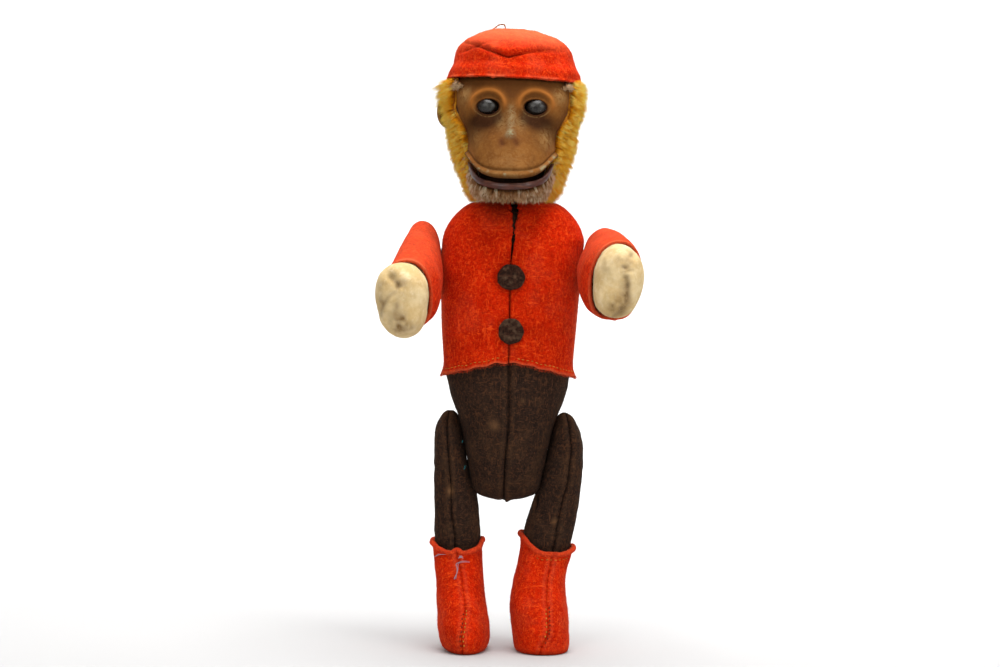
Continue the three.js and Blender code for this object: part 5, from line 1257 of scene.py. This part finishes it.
def eyes():
    for name, s, node in (("eye_left", 1, "left_eye"), ("eye_right", -1, "right_eye")):
        rows, cols = 60, 80
        th = np.linspace(0.02, PI - 0.02, rows)[:, None]
        ph = np.linspace(0, 2 * PI, cols, endpoint=False)[None, :]
        G = np.stack([6.0 * np.sin(th) * np.cos(ph), -5.4 * np.cos(th) + 0 * ph, 5.0 * np.sin(th) * np.sin(ph)], -1)
        G = G + np.array([s * EYE_X, -25.6, EYE_Z - 0.1])
        rim = step(2.6, 4.6, np.hypot(G[..., 0] - s * EYE_X, (G[..., 2] - EYE_Z) * 1.45))
        G = head_place(G)[::-1]
        loft(name, G, EYE, "head", attrs={"rim": rim[::-1]}, stands_for=[node], slot="eye_glass")


eyes()

cap_L = curve([[0, 32.4, 274.4], [1, 31.2, 277.6], [2, 29.7, 281.5], [3, 28.7, 285.4], [4, 27.8, 288.0], [5, 26.0, 291.0], [6, 20.5, 294.8], [7, 13.0, 297.7], [8, 6.0, 299.2], [9, 0.15, 299.6]])
cap_R = curve([[0, 32.7, 272.6], [1, 31.7, 276.0], [2, 29.6, 279.8], [3, 28.5, 284.0], [4, 27.2, 287.6], [5, 25.0, 291.0], [6, 20.2, 295.2], [7, 13.5, 297.6], [8, 6.2, 299.2], [9, 0.15, 299.6]])


def cap():
    cols = 260
    phi = np.linspace(0, 2 * PI, cols, endpoint=False)
    T = np.linspace(0, 9, 190)
    G = np.zeros((len(T), cols, 3))
    k = (np.cos(phi) + 1) / 2
    for i, t in enumerate(T):
        rl, rr = cap_L(t), cap_R(t)
        r = rl[0] * (1 - k) + rr[0] * k
        z = rl[1] * (1 - k) + rr[1] * k
        z = z - 0.9 * np.clip(-np.sin(phi), 0, 1) ** 2 * (1 - t / 9)
        x, y = oval(phi, r, r * 1.01, 2.08)
        G[i] = np.stack([x + -1.8 * step(4, 9, t) + 0.2, y + 0.5, z], -1)
    P = G.copy()
    N = normals(G)
    x, y, z = P[..., 0], P[..., 1], P[..., 2]
    fr = step(4, -6, y)
    # where crown and band meet: a crease that dips to a V at the front, crown bulging over it
    zc = np.where(x < -2, 282.6 + (np.clip(-2 - x, 0, 40) ** 1.15) * 0.235, 282.6 + np.clip(x + 2, 0, 40) * 0.235)
    zc = zc * fr + (1 - fr) * 287.6
    dz = z - zc
    depth = 0.12 + 1.0 * fr * np.exp(-(np.abs(x + 3.5) / 13.0) ** 2.2)
    h = -1.5 * depth * np.exp(-((dz / 0.75) ** 2)) + 0.95 * depth * np.exp(-(((dz - 2.2) / 1.7) ** 2)) + 0.35 * np.exp(-(((dz + 2.4) / 1.8) ** 2)) * depth
    # a second slack fold at the left front, and one at the right
    f2 = z - (287.2 + 0.24 * (x + 20))
    h += -0.55 * np.exp(-((f2 / 0.8) ** 2)) * step(-8, -13, x) * step(-27, -22, x) * fr
    f3 = z - (286.5 + 0.15 * (x - 20))
    h += -0.4 * np.exp(-((f3 / 0.9) ** 2)) * step(10, 16, x) * step(27, 23, x) * fr
    h += fbm(P, 18, 3, 81) * 0.8 + fbm(P, 7, 2, 83) * 0.3 + 0.7 * np.exp(-(((z - 277.5) / 3.0) ** 2)) * fr + 0.5 * np.exp(-(((z - 289.5) / 3.5) ** 2)) * fr
    h += 0.3 * depth * np.sin(x * 1.1 + 0.6) * np.exp(-(((dz - 2.5) / 3.0) ** 2))
    h += 0.25 * np.exp(-(((T - 0.0) / 0.18) ** 2))[:, None]
    G = P + N * h[..., None]
    G[0, :, 2] += 0.2 * noise(G[0] * [1, 1, 0], 1.5, 6)
    # painted shade in the crease between crown and band and in the left fold; the crown's top lighter: painted light
    # from above; the lower edge lighter in patches
    shade_and_grime = np.clip(0.55 * np.exp(-((dz / 0.45) ** 2)) * np.clip(depth, 0, 1.2) + 0.3 * np.exp(-((f2 / 0.5) ** 2)) * step(-8, -13, x) * step(-27, -22, x) * fr, 0, 0.9)
    wear_and_highlight = np.clip(0.05 * step(0.0, 0.8, fbm(P, 9, 3, 85)) + 0.34 * step(284, 297, z) + 0.2 * step(0.5, 0.0, T)[:, None] * step(0.1, 0.6, fbm(P, 5, 2, 3) + 0.3), 0, 1)
    Gh = head_place(G)
    split = int(np.searchsorted(T, 4.0))
    rngf = (("cap_band_felt", slice(0, split + 1), (False, False), ["cap_band"]), ("cap_crown_felt", slice(split, None), (False, True), ["cap_crown"]))
    for name, rows, caps, nodes in rngf:
        loft(name, Gh[rows], RED_FELT, "head", cap=caps, attrs={"shade_and_grime": shade_and_grime[rows], "wear_and_highlight": wear_and_highlight[rows]}, stands_for=nodes, slot="red_felt", mods=[SOLID(1.3)])
    fuzz("cap_fuzz", Gh, 12000, RED_FUZZ, "head", seed=101, slot="red_felt", length=(0.5, 1.3), r=0.042)
    rng = np.random.default_rng(44)
    kk = rng.integers(0, cols, 1600)
    nn = normals(Gh)[1][kk]
    strands("cap_rim_fuzz", Gh[0][kk] - nn * rng.uniform(0, 1.2, (1600, 1)), nn * 0.5 + [0, 0, -0.7] + rng.normal(size=(1600, 3)) * 0.6, rng.uniform(0.5, 1.3, 1600), 0.045, RED_FUZZ, "head", slot="red_felt")
    # a two-ply wire loop through the crown
    path = spline([[-10.9, 0.8, 296.4], [-10.9, 0.6, 298.6], [-9.2, 0.4, 300.3], [-7.2, 0.2, 301.5], [-5.6, 0, 301.6], [-4.7, 0, 300.4], [-4.6, 0, 297.6]], 60)
    allv, allf, base = [], [], 0
    t = np.gradient(path, axis=0)
    t /= np.linalg.norm(t, axis=1, keepdims=True)
    a = np.cross(t, [0, 1, 0.2])
    a /= np.linalg.norm(a, axis=1, keepdims=True)
    b = np.cross(t, a)
    for ply in (0, PI):
        an = np.linspace(0, 26, 60) + ply
        pp = path + (a * np.cos(an)[:, None] + b * np.sin(an)[:, None]) * 0.2
        R = sweep(pp, 0.2, 0.2, up=[0, 1, 0.2], cols=8)
        n0 = 60 * 8
        i = np.arange(8)
        allv.append(np.vstack([R.reshape(-1, 3), pp[0], pp[-1]]))
        allf.append(grid_faces(60, 8, True, base))
        allf.append(np.stack([np.full(8, base + n0), base + (i + 1) % 8, base + i], -1))
        allf.append(np.stack([np.full(8, base + n0 + 1), base + n0 - 8 + i, base + n0 - 8 + (i + 1) % 8], -1))
        base += n0 + 2
    mesh("cap_wire_loop", np.vstack(allv), [np.vstack([f for f in allf if f.shape[1] == 4]), np.vstack([f for f in allf if f.shape[1] == 3])], COPPER, "head", stands_for=["cap_loop"], slot="copper_wire")


cap()

head_row = curve([[214.6, 11, 11, -2], [217.5, 16.4, 16.4, -2.5], [222, 19.8, 20.5, -3], [230, 22.6, 24.5, -2.5], [240, 25.9, 27, -1], [250, 28.1, 28.6, 0], [262, 30.2, 29.6, 0.5], [272, 29.6, 29.2, 0.5], [280, 26.6, 26.8, 0.5], [287, 20.5, 21, 0.5]])


def hood():
    """Mohair over the back and sides of the head: a cloth backing and thousands of hairs in small locks, brushed out and down."""
    rows, cols = 90, 160
    z = np.linspace(217.2, 273.6, rows)
    G = np.zeros((rows, cols, 3))
    for i, zz in enumerate(z):
        w, d, c = head_row(zz)
        e = math.radians(30 + 15 * float(step(258, 248, zz)) - 8 * float(step(228, 219, zz)))
        ph = np.linspace(-e, PI + e, cols)
        x, y = oval(ph, w + 1.1, d + 1.1, 2.15)
        G[i] = np.stack([x, y + c, np.full(cols, zz)], -1)
    P = G.copy()
    N = normals(G, False)
    G = P + N * (fbm(P, 7, 2, 91) * 0.35)[..., None]
    mesh("hood_backing", head_place(G).reshape(-1, 3), grid_faces(rows, cols, False), GOLD_BACK, "head", stands_for=["mohair_hood"], slot="gold_mohair", mods=[SOLID(1.0)])
    for part, (lo, hi, n) in {"left": (0.0, 0.30, 19000), "back": (0.30, 0.70, 15000), "right": (0.70, 1.0, 19000)}.items():
        c0, c1 = int(lo * (cols - 1)), int(hi * (cols - 1)) + 1
        seg = G[:, c0:c1]
        p, nn, idx = scatter(seg, n, False, None, seed={"left": 1, "back": 2, "right": 3}[part])
        rng = np.random.default_rng({"left": 11, "back": 12, "right": 13}[part])
        lean = np.stack([fbm(p, 6.5, 2, 200 + k) for k in range(3)], -1)
        side = np.sign(p[:, :1])
        d = nn * 1.0 + lean * 0.42 + rng.normal(size=(n, 3)) * 0.2 + np.array([0, 0, -0.3]) + side * np.array([0.45, 0, 0])
        zz = p[:, 2]
        rgt = part == "left"          # the figure's left is the picture's right
        if rgt:
            k = 0.95 + 0.1 * step(262, 268, zz) - 0.38 * np.exp(-(((zz - 252) / 7.0) ** 2)) - 0.12 * step(245, 235, zz)
        elif part == "right":
            k = 1.0 + 0.45 * step(261, 268, zz) - 0.16 * step(258, 250, zz) - 0.16 * step(235, 225, zz)
        else:
            k = 0.95 + 0 * zz
        ln = rng.uniform(3.0, 6.4, n) * k
        ln = ln * np.where(rng.random(n) < 0.12, 1.22, 1.0)
        dd, ln, tint = tufts(p, d, ln, 26, 0.42, seed=5)
        strands("mohair_" + part, head_place(p - nn * 0.2), head_place(dd), ln, rng.uniform(0.06, 0.11, n), GOLD_HAIR, "head", seg=2, droop=np.array([0, 0, -0.2]), wave=0.05, seed=3, slot="gold_mohair",
                tint=np.clip(0.75 * tint + 0.25 * rng.random(n), 0, 1))


hood()


def pulp():
    """The moulded pulp head under the skins, hollowed in front for the eyes and the jaw."""
    zs, cols = np.linspace(215.5, 286.5, 70), 120
    phi = np.linspace(0, 2 * PI, cols, endpoint=False)
    G = np.zeros((len(zs), cols, 3))
    for i, z in enumerate(zs):
        w, d, c = head_row(z)
        x, y = oval(phi, w - 1.6, d - 1.6, 2.15)
        y = np.maximum(y + c, -6.5 - 14.5 * float(step(240, 250, z)))
        G[i] = np.stack([x, y, np.full(cols, z)], -1)
    N = normals(G)
    G = G + N * (fbm(G, 6, 3, 120) * 0.2)[..., None]
    loft("head_pulp", head_place(G), PULP, "head", stands_for=["head_core"], slot="pulp")


pulp()


def ears():
    """Flat felt ears, rolled at the rim, mostly lost in the mohair."""
    for name, s, node in (("ear_left", 1, "left_ear"), ("ear_right", -1, "right_ear")):
        rows, cols = 40, 90
        rr = np.linspace(0, 1, rows)[:, None]
        an = np.linspace(0, 2 * PI, cols, endpoint=False)[None, :]
        rx, rz = 5.0, 7.4
        X = rx * rr * np.cos(an)
        Z = rz * rr * np.sin(an)
        cup = -1.6 * (1 - rr**2) + 0.9 * np.exp(-(((rr - 0.88) / 0.12) ** 2))
        a = math.radians(14)
        out = X * math.cos(a) + Z * math.sin(a) * 0.3
        base = np.stack([s * ((28.6 if s > 0 else 32.0) + out), 1.0 - cup * 0.9 + 0 * X, 258.5 + Z - X * 0.1], -1)
        n = fbm(base, 5, 2, 4) * 0.2
        base[..., 1] += n
        G = base if s > 0 else base[:, ::-1]
        G = head_place(G[::-1])
        # the ear's hollow darker: painted shade
        at = {"brow_shade": 0 * n, "painted_shade": 0.3 * step(0.75, 0.2, rr) + 0 * n, "orange": 0 * n + 0.2, "pale": 0.7 * step(0.7, 1.0, rr) + 0 * n, "worn_and_highlight": 0 * n, "nostril": 0 * n, "shade_and_grime": 0 * n}
        loft(name, G, MASK, "head", cap=(False, False), attrs={k: v[::-1] for k, v in at.items()}, stands_for=[node], slot="mask_felt", mods=[SOLID(1.2, 0)])


ears()


def jaw():
    body = "jaw"
    # leather lip: a band round the front of the jaw, rising to the corners of the mouth
    pts = [[-19.6, -23.0, 232.6], [-18.9, -27, 230.2], [-17.7, -32, 227.0], [-15.4, -37.0, 224.0], [-11.9, -41.4, 222.0], [-6.8, -44.6, 220.6], [0, -46.0, 220.05]]
    pts = pts + [[-p[0], p[1], p[2]] for p in pts[-2::-1]]
    path = spline(pts, 150)
    t = np.linspace(-1, 1, 150)
    hgt = 1.6 * (1 - 0.55 * np.abs(t) ** 2.5) * np.clip(1.03 - np.abs(t) ** 14, 0.25, 1)
    G = sweep(path, 1.0, hgt, up=[0, 0, 1], cols=40, n=2.8)
    N = normals(G)
    phi = np.linspace(0, 2 * PI, 40, endpoint=False)[None, :]
    h = -0.12 * np.exp(-(((np.sin(phi) - 0.25) / 0.12) ** 2)) - 0.12 * np.exp(-(((np.sin(phi) + 0.35) / 0.12) ** 2)) + fbm(G, 6, 2, 7) * 0.09
    C = path[:, None]
    out = G - C
    G = C + out * (1 + h[..., None])
    # the top face lighter in patches: painted highlight, broken up by noise
    wear_and_highlight = np.clip(0.45 * step(0.55, 0.95, np.sin(phi)) * step(0.0, 0.7, noise(G, 4, 3) + 0.3), 0, 1)
    loft("jaw_lip_leather", head_place(G), LEATHER, body, attrs={"wear_and_highlight": wear_and_highlight}, stands_for=["jaw_lip"], slot="lip_leather")
    # chin: cloth backing under the lip and short hair in white, cream and brown
    rows, cols = 40, 150
    a = np.linspace(-1, 1, cols)
    G = np.zeros((rows, cols, 3))
    line = spline([[p[0] * 0.965, p[1] + 1.4, p[2] - 1.4] for p in pts], cols)
    for i, v in enumerate(np.linspace(0, 1, rows)):
        low = line.copy()
        low[:, 2] = np.minimum(line[:, 2], 215.4 + 7.5 * np.abs(a) ** 3.6)
        low[:, 0] *= 0.95
        low[:, 1] = -12 + (line[:, 1] + 12) * 0.84
        bulge = math.sin(v * PI) * 1.8
        q = line * (1 - v) + low * v
        dirn = np.stack([line[:, 0], line[:, 1] + 14, 0 * a], -1)
        dirn /= np.maximum(np.linalg.norm(dirn, axis=1, keepdims=True), 1e-6)
        G[i] = q + dirn * bulge * 0.6
    N = normals(G, False)
    if (N[:, cols // 2, 1]).mean() > 0:
        G = G[:, ::-1]
    mesh("chin_backing", head_place(G).reshape(-1, 3), grid_faces(rows, cols, False), WHITE_BACK, body, stands_for=["chin_mohair"], slot="grey_mohair", mods=[SOLID(0.8)])
    n = 14000
    p, nn, _ = scatter(G, n, False, None, 5)
    rng = np.random.default_rng(15)
    lean = np.stack([fbm(p, 3.0, 2, 300 + k) for k in range(3)], -1)
    d = nn * 0.4 + lean * 0.35 + rng.normal(size=(n, 3)) * 0.15 + np.array([0, 0, -1.1])
    ln = rng.uniform(1.8, 4.2, n)
    d, ln, tk = tufts(p, d, ln, 30, 0.5, seed=8)
    tint = np.clip(0.7 * tk + 0.3 * rng.random(n) - 0.35 * np.exp(-((p[:, 0] / 4) ** 2)), 0, 1)
    strands("chin_hair", head_place(p), head_place(d), ln, rng.uniform(0.05, 0.09, n), WHITE_HAIR, body, seg=2, wave=0.05, seed=4, slot="grey_mohair", tint=tint)


jaw()


def cheeks():
    """White tufts that stand beside the mouth, rooted on the head."""
    for side, s in (("left", 1), ("right", -1)):
        n = 6000
        rng = np.random.default_rng(21 + s)
        z = rng.uniform(217, 237, n)
        w = head_row(z)
        x = s * (w[:, 0] * 0.9 + rng.uniform(-4.5, 0.2, n))
        y = -15.5 + rng.uniform(-4, 4, n)
        p = np.stack([x, y, z], -1)
        lean = np.stack([fbm(p, 3.5, 2, 400 + k) for k in range(3)], -1)
        d = np.array([s * 0.35, -0.55, -0.55]) + lean * 0.6 + rng.normal(size=(n, 3)) * 0.2
        d, ln, tk = tufts(p, d, rng.uniform(2.2, 4.4, n), 12, 0.75, seed=9)
        tint = np.clip(0.3 + 0.6 * tk + 0.2 * rng.random(n), 0, 1)
        strands("cheek_hair_" + side, head_place(p), head_place(d), ln, rng.uniform(0.05, 0.1, n), WHITE_HAIR, "head", seg=2, wave=0.05, seed=6, slot="grey_mohair", tint=tint)


cheeks()


def temples():
    """Pale frayed tufts that show under the cap's edge at either temple."""
    for side, s in (("left", 1), ("right", -1)):
        n = 900
        rng = np.random.default_rng(51 + s)
        u = rng.normal(size=n) * 0.45
        p = np.stack([s * (26.6 + u * 2.4), -17.0 + u * 3.5 + rng.normal(size=n) * 0.5, 270.6 - np.abs(u) * 1.2 + rng.normal(size=n) * 0.7], -1)
        d = np.stack([s * (0.3 + 0.5 * u), -0.75 + 0 * u, -0.55 + 0.3 * rng.normal(size=n)], -1) + rng.normal(size=(n, 3)) * 0.35
        d, ln, tk = tufts(p, d, rng.uniform(1.4, 3.6, n), 30, 0.5, seed=13)
        strands("temple_hair_" + side, head_place(p), head_place(d), ln, rng.uniform(0.05, 0.1, n), TEMPLE_HAIR, "head", seg=2, wave=0.08, seed=7, slot="grey_mohair", tint=0.3 + 0.6 * tk)


temples()


def lint():
    """Stray threads and specks: a white wisp on the right boot, a few fibres elsewhere."""
    rng = np.random.default_rng(3)

    def wisp(name, pts, body, r=0.12, n=5, spread=0.35, slot="red_felt", mat=LINT):
        vs, fq, ft, base = [], [], [], 0
        for k in range(n):
            pp = spline(np.asarray(pts) + rng.normal(size=(len(pts), 3)) * spread * np.array([1, 0.15, 1]), 24)
            R = sweep(pp, r * np.linspace(1, 0.35, 24), r * np.linspace(1, 0.35, 24), up=[0, 1, 0.1], cols=5)
            i = np.arange(5)
            vs.append(np.vstack([R.reshape(-1, 3), pp[0], pp[-1]]))
            fq.append(grid_faces(24, 5, True, base))
            ft.append(np.stack([np.full(5, base + 120), base + (i + 1) % 5, base + i], -1))
            ft.append(np.stack([np.full(5, base + 121), base + 115 + i, base + 115 + (i + 1) % 5], -1))
            base += 122
        v = np.vstack(vs)
        at = {"along": np.full(len(v), 0.6), "tint": np.full(len(v), 0.9)}
        mesh(name, v, [np.vstack(fq), np.vstack(ft)], mat, body, attrs=at, slot=slot)

    wisp("boot_lint_a", [[-23.8, -19.6, 34.2], [-22.6, -17.8, 38.5], [-22.6, -16.6, 41.2], [-20.0, -16.0, 42.2], [-16.6, -15.4, 42.1]], "right_leg", r=0.12, n=4, spread=0.3)
    wisp("boot_lint_c", [[-21.8, -15.6, 44.3], [-21.0, -15.6, 44.6], [-20.2, -15.5, 44.3]], "right_leg", r=0.16, n=5, spread=0.35)
    wisp("leg_fibre_a", [[-20.4, -12.2, 86.6], [-20.0, -12.4, 87.6], [-19.6, -12.4, 88.0]], "right_leg", r=0.14, n=2, spread=0.2, slot="dark_felt", mat=TEAL)
    wisp("leg_fibre_b", [[-27.2, -12.6, 90.6], [-27.0, -12.8, 91.4]], "right_leg", r=0.12, n=2, spread=0.2, slot="dark_felt", mat=TEAL)
    wisp("body_fibre", [[-21.6, -17.4, 99.4], [-21.2, -17.8, 100.6]], "torso", r=0.16, n=2, spread=0.2, slot="dark_felt", mat=TEAL)
    wisp("boot_lint_b", [[-33.8, -9.4, 43.9], [-31.4, -13.2, 45.2], [-28.6, -15.4, 45.4]], "right_leg", r=0.12, n=3)


lint()


# ------------------------------------------------------------------ floor, backdrop, lights
def studio():
    n = 40
    prof = [(-1.6, 0.0), (0.9, 0.0)] + [(0.9 + 0.5 * math.sin(t), 0.5 - 0.5 * math.cos(t)) for t in np.linspace(0.1, PI / 2, n)] + [(1.4, 2.6)]
    me = bpy.data.meshes.new("backdrop")
    v, f = [], []
    for i, (y, z) in enumerate(prof):
        v += [(-2.6, y, z), (2.6, y, z)]
        if i:
            f.append((2 * i - 2, 2 * i - 1, 2 * i + 1, 2 * i))
    me.from_pydata(v, [], f)
    me.polygons.foreach_set("use_smooth", [True] * len(f))
    m = Mat("paper_with_painted_falloff", Roughness=0.75, Specular_IOR_Level=0.15)
    sep = m.t.nodes.new("ShaderNodeSeparateXYZ")
    m.link(m.co, sep.inputs[0])
    # the paper darker towards the front and lighter towards the back: painted fall-off of the light over floor and
    # backdrop
    m.color(m.mix(m.ramp(sep.outputs[1], -0.2, 1.3), (0.52, 0.518, 0.517), (0.94, 0.94, 0.94)))
    me.materials.append(m.m)
    ob = bpy.data.objects.new("backdrop", me)
    scene.collection.objects.link(ob)
    w = bpy.data.worlds.new("studio")
    scene.world = w
    w.use_nodes = True
    bg = w.node_tree.nodes["Background"]
    bg.inputs[0].default_value = (1.0, 1.0, 1.0, 1)
    bg.inputs[1].default_value = 0.29
    area("key_light", (-0.55, -1.1, 0.78), (0, 0, 0.16), 0.8, 4.7, (1.0, 0.99, 0.97))
    area("fill_light", (0.95, -0.8, 0.72), (0, 0, 0.16), 0.8, 5.5, (1.0, 0.99, 0.97))
    area("top_light", (0.1, -0.25, 1.25), (0, 0, 0.1), 0.9, 15.0)
    area("back_light", (0.0, 0.55, 1.5), (0, 1.4, 0.4), 1.6, 18.0)


studio()
scene.view_settings.view_transform = "Standard"
scene.view_settings.look = "None"
scene.view_settings.exposure = 0.0
